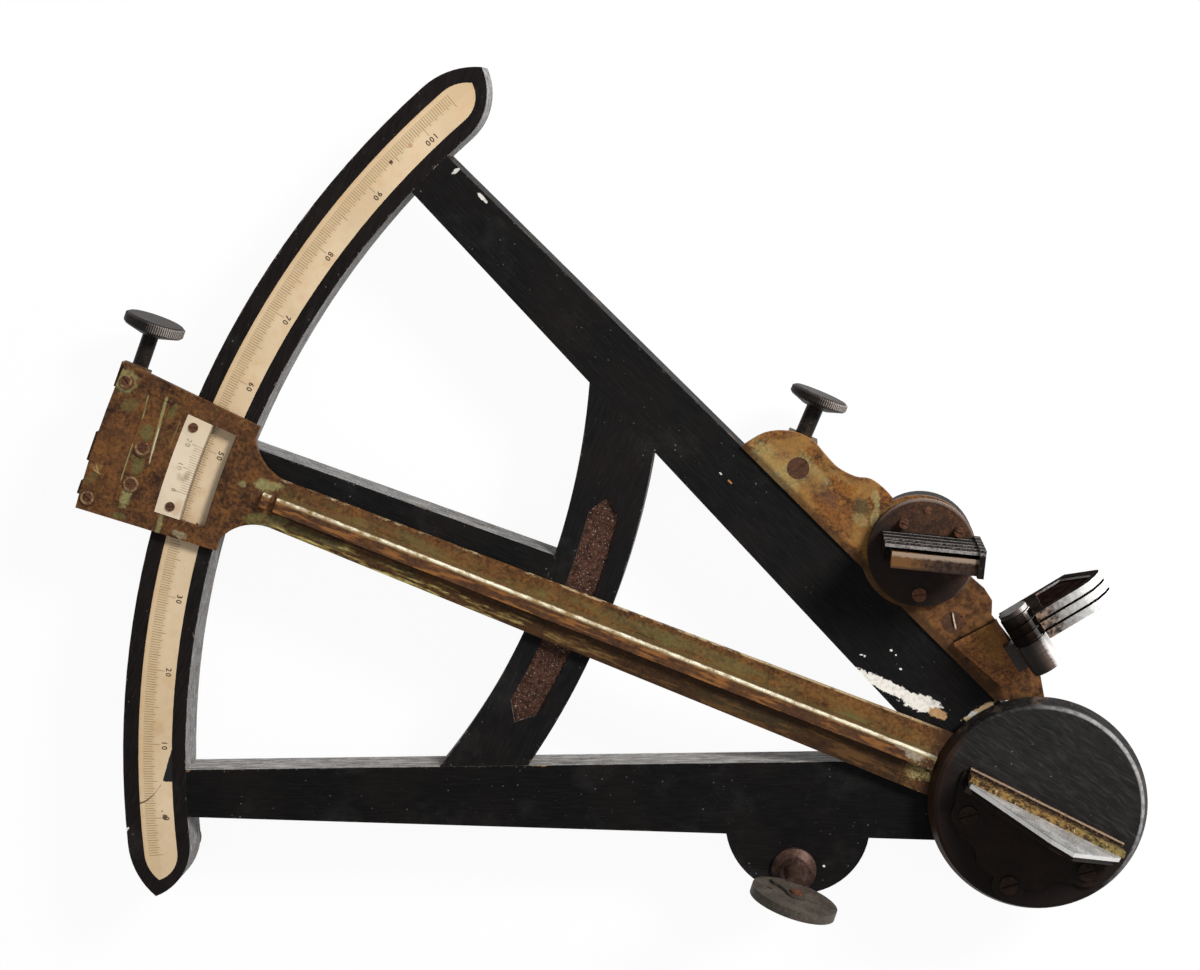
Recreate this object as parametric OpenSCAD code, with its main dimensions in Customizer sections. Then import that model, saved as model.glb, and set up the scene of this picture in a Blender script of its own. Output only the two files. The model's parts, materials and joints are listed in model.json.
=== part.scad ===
// Reflecting octant of the old wooden pattern, lying flat on its three feet.
// The origin is on the pivot axis at the rest plane, +Z comes out of the scale face,
// +X runs from the pivot towards the middle of the limb and +Y towards the zero end.

/* [Frame] */
// Height of the frame's back above the surface it rests on
back_z = 16; // [15:1:20]
// Thickness of the wooden frame
frame_t = 12; // [11:0.5:14]
// Outer radius of the limb
limb_out = 260; // [255:0.5:264]
// Width of the limb
limb_w = 18.3; // [17.5:0.1:22]
// Half angle at which the limb's pointed ends begin
limb_half = 26.7; // [26.2:0.1:27.5]
// Length of each pointed end
tip_len = 15.8; // [14:0.1:18]
// How far the limb's points stand outside its middle line
tip_drift = 2.5; // [0:0.1:4]
// Angle of each leg's inner edge to the centre line
leg_in_angle = 24.4; // [24:0.1:25]
// Angle of each leg's outer edge to the centre line
leg_out_angle = 22; // [21.5:0.1:23]
// Distance of the inner edges from the pivot
leg_in_dist = 11.6; // [10:0.1:13]
// Distance of the outer edges from the pivot
leg_out_dist = 12.5; // [12:0.1:15]
// Radius of the round wooden end at the pivot
apex_r = 26; // [24:0.5:27]
// Distance from the pivot to the centre of the brace's curve
brace_cx = 354.6; // [350:0.2:358]
// Sideways place of the centre of the brace's curve
brace_cy = 3; // [0:0.5:5]
// Radius of the brace's edge on the limb side
brace_in = 205; // [202:0.5:207]
// Radius of the brace's edge on the pivot side
brace_out = 225; // [223:0.5:228]
// Half width of the centre strut where it meets the brace
strut_w0 = 11.2; // [9:0.1:12]
// Half width of the centre strut where it meets the limb
strut_w1 = 5.8; // [5:0.1:8]
// Width of the name plate's empty recess
recess_w = 8.7; // [6:0.1:10]
// Length of the recess between its pointed ends
recess_len = 60; // [40:1:64]
// Depth of the recess
recess_depth = 0.8; // [0.5:0.1:1.5]
// Radius of the wooden ear that carries the sight
sight_ear_r = 20.3; // [19:0.1:22]
// Place of that ear's centre along the centre line
sight_ear_x = 57.8; // [56:0.1:59]
// Sideways place of that ear's centre
sight_ear_y = 33.2; // [32:0.1:34]
// Radius of the wooden ear under the horizon mirror
mirror_ear_r = 15; // [14:0.1:15.5]

/* [Feet and bearing] */
// Radius of the turned foot under the pivot
foot_r = 15; // [14.5:0.5:17]
// Wall of the turned foot
foot_wall = 2.4; // [2:0.1:3]
// Radius of the two feet under the limb
limb_foot_r = 5; // [4:0.1:5.5]
// Angle of the limb's feet from the centre line
limb_foot_angle = 28; // [27.6:0.1:28.2]
// Radius of the pivot's shaft
axle_r = 5; // [4:0.1:6]
// Outer radius of the bearing bush
bush_r = 8; // [7.5:0.1:9]
// Radius of the bush's flange under the index arm
bush_flange_r = 19; // [15:0.5:22]
// Thickness of the bearing plate on the back
back_plate_t = 1.5; // [1:0.1:2]
// Radius of the bearing plate on the back
back_plate_r = 22; // [21:0.5:24]

/* [Scale] */
// Width of the wood outside the ivory scale
ivory_margin = 4.55; // [4:0.05:5]
// Width of the ivory scale
ivory_w = 9.75; // [9:0.05:10.2]
// Thickness of the ivory
ivory_t = 1.2; // [0.8:0.1:2]
// Half angle at which the ivory's points begin
ivory_half = 27.4; // [27:0.1:27.6]
// Length of the ivory's points
ivory_tip = 7.9; // [7:0.1:8.5]

/* [Index arm] */
// Angle of the arm from the centre line as photographed
arm_rest = 1.5; // [-2:0.1:4]
// Height of the arm's underside above the face
arm_gap = 1.3; // [1.2:0.05:1.6]
// Thickness of the arm
arm_t = 1.7; // [1.5:0.1:2]
// Half width of the blade at the disc
blade_w0 = 9.8; // [8:0.1:10.5]
// Half width of the blade at the end plate
blade_w1 = 7.0; // [6.5:0.1:7.4]
// Height of the rib along the arm
rib_h = 2.5; // [1.5:0.1:3]
// Width of the rib's top
rib_w = 3.8; // [3:0.1:5]
// Width of the slope beside the rib
rib_slope = 1.3; // [0.8:0.1:2]
// How far the end plate reaches inside the limb's inner edge
plate_inside = 1.7; // [1:0.1:3]
// How far the end plate stands out past the limb
plate_over = 22; // [21:0.5:24]
// Half angle of the end plate
plate_half = 4.5; // [4.4:0.05:4.7]
// How far the reading window clears the ivory's inner edge
window_margin = 0.7; // [0.2:0.1:1.2]
// Half angle of the window
window_half = 3.3; // [3.1:0.05:3.5]
// How far the vernier reaches over the ivory scale
vernier_lap = 3.25; // [2.5:0.05:4]
// Width of the vernier
vernier_w = 7.8; // [7:0.1:9]
// Thickness of the ledge that carries the vernier
ledge_t = 0.8; // [0.6:0.1:1]
// Distance from the window to the strip outside it
strip_gap = 5.5; // [4:0.1:6]
// Width of the strip
strip_w = 6.3; // [6:0.1:7]
// Height of the strip above the end plate
strip_rise = 0.2; // [0.1:0.05:0.5]

/* [Clamp and tangent screw] */
// Distance of the tangent screw outside the limb
tangent_out = 19.95; // [19:0.05:20.5]
// Depth of the tangent screw's axis below the face
tangent_depth = 10; // [9:0.5:10.5]
// Radius of the tangent screw
tangent_r = 1.9; // [1.5:0.1:2]
// Radius of the milled head of the tangent screw
tangent_head_r = 8.75; // [7:0.05:9.5]
// Thickness of the milled head of the tangent screw
tangent_head_t = 4.7; // [3:0.1:6]
// Sideways place of the middle of the tangent screw's head
tangent_head_y = -32.1; // [-36:0.1:-31]
// Sideways place of the clamp's nut block
nut_y = 4.4; // [3:0.1:6]
// Width of the clamp's nut block
nut_w = 8.6; // [7:0.1:9]
// Thickness of the clamp plate behind the limb
shoe_t = 3.6; // [3:0.1:4]
// Width of the clamp plate
shoe_w = 16; // [14:0.5:18]
// Sideways place of the clamp screw
clamp_y = 1; // [0:0.5:2]
// Length of the blocks that hold the tangent screw
bearing_len = 8; // [7:0.1:9]
// Width of the blocks that hold the tangent screw
bearing_w = 4; // [3:0.1:5]
// How far the blocks and the nut reach past the tangent screw's axis
bearing_past = 2.6; // [2.4:0.1:3.4]
// Radius of the clamp screw's milled head
clamp_head_r = 7.5; // [6:0.1:8]

/* [Pivot disc] */
// Radius of the disc's underside
disc_r = 30.1; // [29:0.1:31]
// Thickness of the disc
disc_t = 5; // [4:0.1:6]
// Bevel round the disc's top edge
disc_bevel = 1; // [0.5:0.1:1.5]

/* [Index mirror] */
// Length of the index mirror
mirror_len = 46.6; // [44:0.2:48]
// Angle of the mirror to the index arm
mirror_angle = -5; // [-8:0.1:0]
// Place of the mirror's middle along the arm
mirror_mid = -1.5; // [-3:0.1:0]
// Height of the mirror glass
mirror_h = 27.5; // [26:0.5:30]
// Thickness of the mirror glass
mirror_t = 1.5; // [1.3:0.1:2]
// Height of the brass lip in front of the mirror
lip_h = 7.6; // [6:0.2:9]
// Thickness of the mirror's brass back and base
brass_t = 1.5; // [1:0.1:2]

/* [Horizon mirror] */
// Distance along the leg of the horizon mirror's pivot
turret_x = 57; // [56:0.1:58]
// Sideways place of the horizon mirror's pivot
turret_y = -52.1; // [-54:0.1:-52]
// Radius of the turning base
turret_r = 14.9; // [14:0.1:15.2]
// Thickness of the turning base
turret_t = 2.7; // [2:0.1:3]
// Radius of the fixed ring under the base
turret_ring_r = 15.8; // [15.6:0.1:16.5]
// Radius of the base's stem
stem_r = 4; // [3:0.1:5]
// Length of the horizon mirror's frame
horizon_len = 24.8; // [24:0.2:26]
// Length of the box round the horizon glass
horizon_box = 22.8; // [22:0.1:24]
// Height of the horizon mirror's frame
horizon_h = 23; // [22:0.5:30]
// Thickness of the horizon mirror's frame
horizon_t = 6.3; // [6:0.1:7.6]
// Distance of the horizon mirror's back from its turning axis
horizon_back = 5.4; // [5:0.1:5.6]
// Angle of the horizon mirror to the centre line
horizon_angle = 17.3; // [14:0.1:19]
// Thickness of the brass plate let into the frame
inlay_t = 2; // [1.5:0.1:2.5]
// Height of the brass plate above the wood
inlay_rise = 0.9; // [0.5:0.1:1]
// Place of the adjusting screw along the leg
adjust_x = 99; // [98:0.5:100]
// Radius of the adjusting screw
adjust_r = 2; // [1.5:0.1:2.2]
// Radius of the adjusting screw's milled head
adjust_head_r = 8.3; // [7:0.1:9]
// Thickness of the adjusting screw's milled head
adjust_head_t = 4.1; // [3:0.1:5]
// Sideways place of the middle of that head
adjust_head_y = -78.5; // [-82:0.1:-77]
// Depth of the adjusting screw's axis below the face
adjust_depth = 10; // [9:0.5:10.5]

/* [Shades] */
// Place of the shades' hinge along the centre line
hinge_x = 22.4; // [22:0.1:23]
// Sideways place of the shades' hinge
hinge_y = -43.5; // [-44:0.1:-43]
// Direction of the hinge pin
hinge_angle = 145; // [143:0.1:146]
// Height of the hinge pin above the face
hinge_h = 15.9; // [15.8:0.1:17]
// Radius of the hinge barrels
barrel_r = 4.35; // [3.5:0.05:4.6]
// Half length of the whole hinge
hinge_half = 9.1; // [9:0.1:9.6]
// Radius of the hinge pin
pin_r = 1.5; // [1.2:0.1:2]
// Spacing of the shades
shade_pitch = 2.75; // [2.65:0.05:2.85]
// Thickness of a shade's frame
shade_t = 2.1; // [1.2:0.1:2.2]
// Half height of a shade
shade_half = 12.1; // [10:0.1:12.2]
// Length of a shade from the hinge pin
shade_len = 25.2; // [24:0.2:26]
// Length of a shade to the start of its bowed end
shade_square = 18.4; // [17:0.2:19]
// Width of a shade's rim
shade_rim = 2.6; // [2:0.1:3.5]

/* [Sight] */
// Place of the sight's post along the centre line
sight_x = 53.6; // [52:0.1:55]
// Sideways place of the sight's post
sight_y = 45.6; // [44:0.1:46]
// Height of the sight's centre above the face
sight_h = 28; // [24:0.5:32]
// Radius of the sight's disc
sight_r = 12; // [10:0.1:13]
// Thickness of the sight's disc
sight_t = 2.6; // [2:0.1:3]
// Angle of the disc to the centre line
sight_angle = 5; // [0:0.5:8]
// Distance of the sighting hole from the disc's centre
sight_hole_at = 7.3; // [6:0.1:8]
// Radius of the sighting hole
sight_hole_r = 0.9; // [0.6:0.1:1.2]

/* [Fits] */
// Gap between pieces fixed to each other
fit_gap = 0.03; // [0.01:0.01:0.05]
// Gap between wooden pieces at their joints
wood_gap = 0.05; // [0.02:0.01:0.2]
// Gap round a turning shaft
run_gap = 0.05; // [0.03:0.01:0.08]
// Gap between pieces that move past each other
air_gap = 0.3; // [0.2:0.05:0.4]

/* [Hidden] */
$fn = 96;
face_z = back_z + frame_t;
limb_in = limb_out - limb_w;
limb_mid = (limb_in + limb_out) / 2;
ivory_out = limb_out - ivory_margin;
ivory_in = ivory_out - ivory_w;
plate_in = limb_in - plate_inside;
plate_out = limb_out + plate_over;
plate_edge = plate_out * sin(plate_half);
window_in = ivory_in - window_margin;
vernier_in = ivory_out - vernier_lap;
window_out = vernier_in + vernier_w;
strip_in = window_out + strip_gap;
strip_out = strip_in + strip_w;
tangent_x = limb_out + tangent_out;
bearing_ys = [2.5 - plate_edge, plate_edge - 5.7];
bearing_back = 3.4;
arm_z = face_z + arm_gap;
arm_top = arm_z + arm_t;
disc_top = arm_top + disc_t;
disc_top_r = disc_r - 1.4;
mirror_set = 1.2;
base_top = disc_top + brass_t;
inlay_z = face_z + inlay_rise;
far = 400;
blade_end = plate_in - 13;
flare_r = plate_in - blade_end + 0.5;
tangent_z = face_z - tangent_depth;
collar_t = 1.2;
shoe_z = back_z - air_gap - shoe_t;
clamp_x = limb_mid;
clamp_r = 2.5;
adjust_z = face_z - adjust_depth;
lever_t = 3.2;
lever_z = back_z - air_gap - lever_t;
lug_y = -60.8;
lug_t = 3;
lug_travel = 4;
bracket_t = 1.8;
shoulder = 0.4;
bracket_y = lug_y - lug_t / 2 - lug_travel - bracket_t / 2;
hinge_z = face_z + hinge_h;
block_h = 2.5;
block_angle = 141.6;
shade_foot = 3.9;
shade_start = barrel_r + 0.4;
sight_z = face_z + sight_h;
plate_screw_r = 3.05;
strip_screw_r = strip_in + 3;
turret_clear = stem_r + 1.5;
turret_screw_r = 0.9;
turret_screw_len = 1.8;
// Each: place from the base's middle, head's radius and height, turn of the slot
turret_screw_places = [
    [8, -5.8, 1.3, 3, 0], [-6.7, -9.5, 1.3, 3, 0], [-3.8, 10.9, 2, 0.8, 30], [3.1, -11.5, 1.1, 0.2, 0]
];
washer_t = 1.6;
washer_top = back_z - back_plate_t - 0.1;
mirror_z = base_top;
glass_rim = 2;
glass_t = 1.8;

ebony = "#231f1c";
brass = "#7a5c34";
ivory = "#d8c7a0";
steel = "#6c665e";
silvered = "#9aa0a2";

// Shared shapes

module ring(inner, outer) {
    difference() {
        circle(r = outer, $fn = 360);
        circle(r = inner, $fn = 360);
    }
}

module wedge(from, to) {
    polygon([
        [0, 0], [far * cos(from), far * sin(from)], [far, far * tan((from + to) / 2)],
        [far * cos(to), far * sin(to)]
    ]);
}

// One pointed end: two arcs that spring square from the band and meet at the point
module pointed_end(inner, outer, len, drift) {
    half = (outer - inner) / 2;
    outer_arc = (len * len + pow(half - drift, 2)) / (2 * (half - drift));
    inner_arc = (len * len + pow(half + drift, 2)) / (2 * (half + drift));
    intersection() {
        translate([outer - outer_arc, 0]) circle(r = outer_arc);
        translate([inner + inner_arc, 0]) circle(r = inner_arc);
        translate([inner - 1, -0.01]) square([outer - inner + 2, len + 1]);
    }
}

// A curved band with a pointed end at each side
module pointed_band(inner, outer, half_angle, len, drift) {
    intersection() {
        ring(inner, outer);
        wedge(-half_angle, half_angle);
    }
    for (side = [0, 1])
        mirror([0, side, 0]) rotate(half_angle) pointed_end(inner, outer, len, drift);
}

// Screw with a slotted head; its head's underside is at z = 0
module slotted_screw(head_r, head_h, shank_r, shank_len, turn = 0) {
    difference() {
        cylinder(r = head_r, h = head_h, $fn = 48);
        rotate(turn) translate([-head_r - 1, -head_r * 0.1, head_h * 0.5])
            cube([head_r * 2 + 2, head_r * 0.2, head_h]);
    }
    translate([0, 0, -shank_len]) cylinder(r = shank_r, h = shank_len + 0.01, $fn = 32);
}

// Hole for a screw: a seat for the head and a way for the shank
module screw_hole(head_r, shank_r, depth, height = 5) {
    cylinder(r = head_r + fit_gap, h = height, $fn = 48);
    translate([0, 0, -depth]) cylinder(r = shank_r + fit_gap, h = depth + 0.01, $fn = 32);
}

// Milled head, its axis along Z and its middle at z = 0: the rim is bevelled on both sides,
// and a shallow cone thickens the side towards the screw
module milled_head(r, t) {
    bevel = 0.6;
    cone = 1.4;
    neck = 3.8;
    rotate_extrude() polygon([
        [0, -t / 2], [r - 1.5 * bevel, -t / 2], [r, bevel - t / 2], [r, t / 2 - cone - bevel],
        [r - bevel, t / 2 - cone], [neck, t / 2], [0, t / 2]
    ]);
}

// Points of a smooth closed outline through the given points, four to a side
function bend(a, b, c, d, t) =
    0.5 * (2 * b + (c - a) * t + (2 * a - 5 * b + 4 * c - d) * t * t
    + (3 * b - a - 3 * c + d) * t * t * t);
function smooth(p, steps = 4) = [
    for (i = [0 : len(p) - 2], s = [0 : steps - 1])
        bend(p[max(i - 1, 0)], p[i], p[i + 1], p[min(i + 2, len(p) - 1)], s / steps),
    p[len(p) - 1]
];

module in_arm() { rotate(arm_rest) children(); }
module in_hinge() {
    translate([hinge_x, hinge_y, hinge_z]) rotate(hinge_angle) children();
}
module at_turret() { translate([turret_x, turret_y, 0]) children(); }

// Wooden frame

module ivory_outline(extra = 0) {
    pointed_band(ivory_in - extra, ivory_out + extra, ivory_half, ivory_tip + extra, 1.4);
}

module limb() {
    color(ebony) difference() {
        translate([0, 0, back_z]) linear_extrude(frame_t)
            pointed_band(limb_in, limb_out, limb_half, tip_len, tip_drift);
        translate([0, 0, face_z - ivory_t]) linear_extrude(ivory_t + 1)
            ivory_outline(fit_gap);
    }
}

// Between two straight edges that run out from the pivot's round end
module leg_outline() {
    intersection() {
        rotate(leg_in_angle) translate([0, -leg_in_dist]) square([far, 60]);
        rotate(leg_out_angle) translate([0, leg_out_dist - 60]) square([far, 60]);
        circle(r = limb_in - wood_gap, $fn = 360);
    }
}

// Wooden ear under the horizon mirror, with a neck that runs into the leg
module mirror_ear() {
    half = mirror_ear_r - 1;
    at_turret() circle(r = mirror_ear_r);
    at_turret() rotate(-leg_out_angle) translate([-half, 0]) square([2 * half, mirror_ear_r + 6]);
}

module upper_leg() {
    color(ebony) difference() {
        translate([0, 0, back_z]) linear_extrude(frame_t) {
            mirror([0, 1]) leg_outline();
            circle(r = apex_r);
            mirror_ear();
        }
        translate([0, 0, back_z - 1]) cylinder(r = bush_r + fit_gap, h = frame_t + 2);
        translate([0, 0, inlay_z - inlay_t]) linear_extrude(inlay_t)
            horizon_outline(fit_gap);
        at_turret() translate([0, 0, back_z - 1]) cylinder(r = turret_clear, h = frame_t + 2);
        for (p = horizon_screws) translate([p[0], p[1], inlay_z - 0.7])
            screw_hole(plate_screw_r, 1.3, 6);
        back_screw_places() translate([0, 0, back_z - 1])
            cylinder(r = 1.2 + fit_gap, h = 6 + fit_gap, $fn = 32);
    }
}

module lower_leg() {
    color(ebony) difference() {
        translate([0, 0, back_z]) linear_extrude(frame_t) difference() {
            union() {
                leg_outline();
                intersection() {
                    translate([sight_ear_x, sight_ear_y]) circle(r = sight_ear_r);
                    rotate(leg_in_angle) translate([0, -leg_in_dist]) square([far, 60]);
                }
            }
            circle(r = apex_r + wood_gap);
            mirror([0, 1]) offset_leg();
        }
        translate([sight_x, sight_y, face_z - 6]) cylinder(r = 2 + fit_gap, h = 7, $fn = 48);
    }
}

// The upper leg with a joint's gap round it, cut from the lower leg near the pivot
module offset_leg() {
    rotate(leg_in_angle) translate([0, -leg_in_dist - wood_gap]) square([60, 30]);
}

module brace_ring(inner, outer) {
    translate([brace_cx, brace_cy]) ring(inner, outer);
}

module between_legs() {
    intersection_for (side = [0, 1]) mirror([0, side])
        rotate(leg_in_angle) translate([0, -far - leg_in_dist - wood_gap]) square([far, far]);
}

module recess_outline() {
    half = recess_len / 2;
    mid = (brace_in + brace_out) / 2;
    steps = 16;
    reach = half / mid * 180 / PI;
    point = reach + 5.2 / mid * 180 / PI;
    edge = [for (i = [-steps : steps]) reach * i / steps];
    translate([brace_cx, brace_cy]) rotate(180) polygon(concat(
        [for (a = edge) (mid + recess_w / 2) * [cos(a), sin(a)]],
        [mid * [cos(point), sin(point)]],
        [for (a = edge) (mid - recess_w / 2) * [cos(-a), sin(-a)]],
        [mid * [cos(point), -sin(point)]]
    ));
}

module cross_brace() {
    color(ebony) difference() {
        translate([0, 0, back_z]) linear_extrude(frame_t) intersection() {
            brace_ring(brace_in, brace_out);
            between_legs();
            circle(r = limb_in - 20);
        }
        translate([0, 0, face_z - recess_depth]) linear_extrude(recess_depth + 1)
            recess_outline();
    }
}

module centre_strut() {
    x0 = brace_cx - brace_in - 5;
    color(ebony) translate([0, 0, back_z]) linear_extrude(frame_t) intersection() {
        polygon([[x0, -strut_w0], [limb_in, -strut_w1], [limb_in, strut_w1], [x0, strut_w0]]);
        translate([brace_cx, brace_cy]) circle(r = brace_in - wood_gap, $fn = 360);
        circle(r = limb_in - wood_gap, $fn = 360);
    }
}

module ivory_scale() {
    color(ivory) translate([0, 0, face_z - ivory_t]) linear_extrude(ivory_t) ivory_outline();
}

// Feet and pivot bearing

module back_screw_places() {
    for (a = [90, 210, 330]) rotate(a) translate([back_plate_r - 3, 0, 0]) children();
}

module apex_foot() {
    top = back_z - back_plate_t;
    color(brass) difference() {
        rotate_extrude() polygon([
            [0, 0], [foot_r - 2, 0], [foot_r, 2], [foot_r, top - 2],
            [foot_r + 1, top], [0, top]
        ]);
        translate([0, 0, 2]) cylinder(r = foot_r - foot_wall, h = top);
    }
}

module limb_feet() {
    color(ebony) for (side = [-1, 1]) rotate(side * limb_foot_angle)
        translate([limb_mid, 0, 0]) rotate_extrude() polygon([
            [0, 0], [limb_foot_r - 1, 0], [limb_foot_r, 1.5], [limb_foot_r - 0.8, back_z],
            [0, back_z]
        ]);
}

module back_plate() {
    color(brass) translate([0, 0, back_z - back_plate_t]) difference() {
        cylinder(r = back_plate_r, h = back_plate_t);
        translate([0, 0, -1]) cylinder(r = axle_r + run_gap, h = back_plate_t + 2);
        back_screw_places() translate([0, 0, -1])
            cylinder(r = 1.2 + fit_gap, h = back_plate_t + 2, $fn = 32);
    }
}

module back_plate_screws() {
    color(brass) back_screw_places() translate([0, 0, back_z - back_plate_t])
        mirror([0, 0, 1]) slotted_screw(2, 0.8, 1.2, 6);
}

module bush() {
    color(brass) difference() {
        union() {
            translate([0, 0, back_z]) cylinder(r = bush_r, h = frame_t);
            translate([0, 0, face_z]) cylinder(r = bush_flange_r, h = arm_gap - 0.1);
        }
        translate([0, 0, back_z - 1])
            cylinder(r = axle_r + run_gap, h = frame_t + arm_gap + 2);
    }
}

// Horizon side

// Wavy outer edge of the plate, from its far tip to the pivot end
horizon_edge = [
    [114, -59.5], [109.5, -65.5], [103.3, -68.6], [97, -68.8], [91.5, -66.3],
    [87, -64.4], [81.7, -64], [77.5, -65], [72, -63.5], [66, -60]
];
horizon_inner_edge = [[44, -51.5], [37, -49.2], [33.8, -47], [32.3, -43.2], [16, -34.4], [13.4, -33.2], [9.7, -27.6]];
horizon_screws = [[97.2, -60.1], [41.2, -37.2]];

module horizon_outline(extra = 0) {
    difference() {
        union() {
            polygon(concat(smooth(horizon_edge), horizon_inner_edge, [[21.6, -21.5]]));
            at_turret() translate([0.8, 0.6]) circle(r = turret_ring_r + extra);
        }
        circle(r = disc_r - 2);
    }
}

module horizon_plate() {
    color(brass) translate([0, 0, inlay_z - inlay_t]) difference() {
        linear_extrude(inlay_t) horizon_outline();
        at_turret() translate([0, 0, -1]) cylinder(r = stem_r + run_gap, h = inlay_t + 2);
        for (p = horizon_screws) translate([p[0], p[1], inlay_t - 0.7])
            screw_hole(plate_screw_r, 1.3, 3);
    }
}

module horizon_plate_screws() {
    color(brass) for (p = horizon_screws) translate([p[0], p[1], inlay_z - 0.7])
        slotted_screw(plate_screw_r, 0.7, 1.3, 5.5, 60);
}

// Hangs from the plate's overhang beside the leg and holds the adjusting screw
module adjuster_bracket() {
    w = 8.4;
    top = inlay_z - inlay_t;
    low = adjust_z - adjust_r - 1.5;
    color(brass) translate([adjust_x, bracket_y, 0]) difference() {
        translate([-w / 2, -bracket_t / 2, low]) cube([w, bracket_t, top - low]);
        translate([0, -5, adjust_z]) rotate([-90, 0, 0])
            cylinder(r = adjust_r + run_gap, h = 10);
    }
}

module turret_base() {
    color(brass) at_turret() translate([0, 0, inlay_z + air_gap]) difference() {
        cylinder(r = turret_r, h = turret_t);
        translate([0, 0, -1]) cylinder(r = stem_r + fit_gap, h = turret_t + 2);
        for (p = turret_screw_places) translate([p[0], p[1], turret_t - turret_screw_len])
            cylinder(r = turret_screw_r + fit_gap, h = turret_t, $fn = 32);
    }
}

module turret_stem() {
    top = inlay_z + air_gap + turret_t;
    color(brass) at_turret() difference() {
        union() {
            translate([0, 0, lever_z - 1]) cylinder(r = stem_r, h = top - lever_z + 1);
            translate([0, 0, lever_z - 2.5]) cylinder(r = stem_r + 2.5, h = 2.5 - fit_gap, $fn = 6);
        }
    }
}

// The lever lies across the back of the leg; its lug stands up round the adjusting screw
module turret_lever() {
    dx = adjust_x - turret_x;
    dy = lug_y - turret_y;
    color(brass) difference() {
        union() {
            translate([0, 0, lever_z]) linear_extrude(lever_t) {
                at_turret() circle(r = 8);
                at_turret() rotate(atan2(dy, dx)) translate([0, -3])
                    square([norm([dx, dy]) - 3.4, 6]);
                translate([adjust_x, lug_y]) square([9.6, lug_t + 0.6], center = true);
            }
            translate([adjust_x - 4.5, lug_y - lug_t / 2, lever_z + 1])
                cube([9, lug_t, adjust_z + 3.5 - lever_z]);
        }
        at_turret() translate([0, 0, lever_z - 1])
            cylinder(r = stem_r + fit_gap, h = lever_t + 2);
        translate([adjust_x, lug_y - lug_t, adjust_z]) rotate([-90, 0, 0])
            cylinder(r = adjust_r + 0.9, h = lug_t * 2);
    }
}

module in_horizon_mirror() {
    at_turret() translate([0, 0, inlay_z + air_gap + turret_t]) rotate(horizon_angle)
        translate([-horizon_len / 2 - 1, -horizon_back, 0]) children();
}

// Box round the glass, with a slotted spring plate behind it and a bracket at each end
module horizon_frame() {
    plate = 0.8;
    slot = 1.1;
    slot_depth = 4;
    groove = 0.3;
    end_t = 1.7;
    low_t = 2;
    color(steel) in_horizon_mirror() {
        difference() {
            union() {
                cube([horizon_box, horizon_t, horizon_h]);
                cube([horizon_len, plate, horizon_h]);
                translate([horizon_box - 1, 0, 0])
                    cube([low_t + 1, horizon_t - 1, horizon_h - slot_depth - 0.5]);
            }
            translate([-1, plate, horizon_h - slot_depth])
                cube([horizon_len + 2, slot, slot_depth + 1]);
            for (drop = [4, 9])
                translate([-1, -1, horizon_h - drop]) cube([horizon_len + 2, 1 + groove, 1.4]);
            translate([glass_rim, horizon_t - glass_t, glass_rim])
                cube([horizon_box - 2 * glass_rim, glass_t + 1, horizon_h - 2 * glass_rim]);
        }
        translate([-end_t, -0.8, 0]) cube([end_t, horizon_t + 1.3, horizon_h + 1]);
    }
}

module horizon_glass() {
    inset = glass_rim + fit_gap;
    color(silvered) in_horizon_mirror()
        translate([inset, horizon_t - glass_t + fit_gap, inset])
        cube([horizon_box - 2 * inset, glass_t - fit_gap, horizon_h - 2 * inset]);
}

module turret_screws() {
    color(brass) at_turret() for (p = turret_screw_places)
        translate([p[0], p[1], inlay_z + air_gap + turret_t])
        slotted_screw(p[2], p[3], turret_screw_r, turret_screw_len, p[4]);
}

module adjusting_screw() {
    len = -adjust_head_y + lug_y + 6;
    color(steel) translate([adjust_x, adjust_head_y + adjust_head_t / 2 - 0.5, adjust_z])
        rotate([-90, 0, 0]) {
        cylinder(r = adjust_r, h = len - adjust_head_t / 2);
        translate([0, 0, 0.5 + 0.1]) cylinder(r = adjust_r + shoulder, h = bracket_y
            - bracket_t / 2 - 0.1 - adjust_head_y - adjust_head_t / 2 - 0.1);
    }
}

module adjusting_head() {
    color(steel) translate([adjust_x, adjust_head_y, adjust_z]) rotate([-90, 0, 0])
        difference() {
            milled_head(adjust_head_r, adjust_head_t);
            translate([0, 0, adjust_head_t / 2 - 0.5]) cylinder(r = adjust_r + fit_gap, h = 5);
        }
}

// Shades

module shade_block() {
    color(brass) difference() {
        translate([hinge_x, hinge_y, inlay_z]) rotate(block_angle) linear_extrude(block_h)
            polygon([[-6.2, -5.7], [11, -5.9], [11.1, -13.3], [-5.2, -19.2], [-6.2, -19]]);
        translate([0, 0, face_z]) cylinder(r = disc_r + 1, h = 20);
    }
}

// Upright that carries the pin, beside the shades and clear of their swing
module shade_bracket() {
    x0 = shade_x(3) - shade_pitch / 2 + 0.2;
    len = hinge_half - 1 - x0;
    base = inlay_z + block_h - hinge_z;
    color(steel) in_hinge() difference() {
        union() {
            translate([x0, 0, 0]) rotate([0, 90, 0]) cylinder(r = barrel_r, h = len);
            translate([x0, -7.6, base]) cube([len, 7.6, 5]);
            translate([x0, -barrel_r, base]) cube([len, barrel_r * 1.6, -base]);
        }
        translate([x0 - 1, 0, 0]) rotate([0, 90, 0]) cylinder(r = pin_r + fit_gap, h = len + 2);
    }
}

module shade_pin() {
    color(steel) in_hinge() rotate([0, 90, 0]) {
        translate([0, 0, -hinge_half + 0.7]) cylinder(r = pin_r, h = 2 * hinge_half - 1.7);
        translate([0, 0, -hinge_half - 0.6]) cylinder(r = barrel_r - 0.3, h = 1.3);
        translate([0, 0, hinge_half - 1]) cylinder(r = barrel_r - 0.3, h = 1);
    }
}

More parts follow.
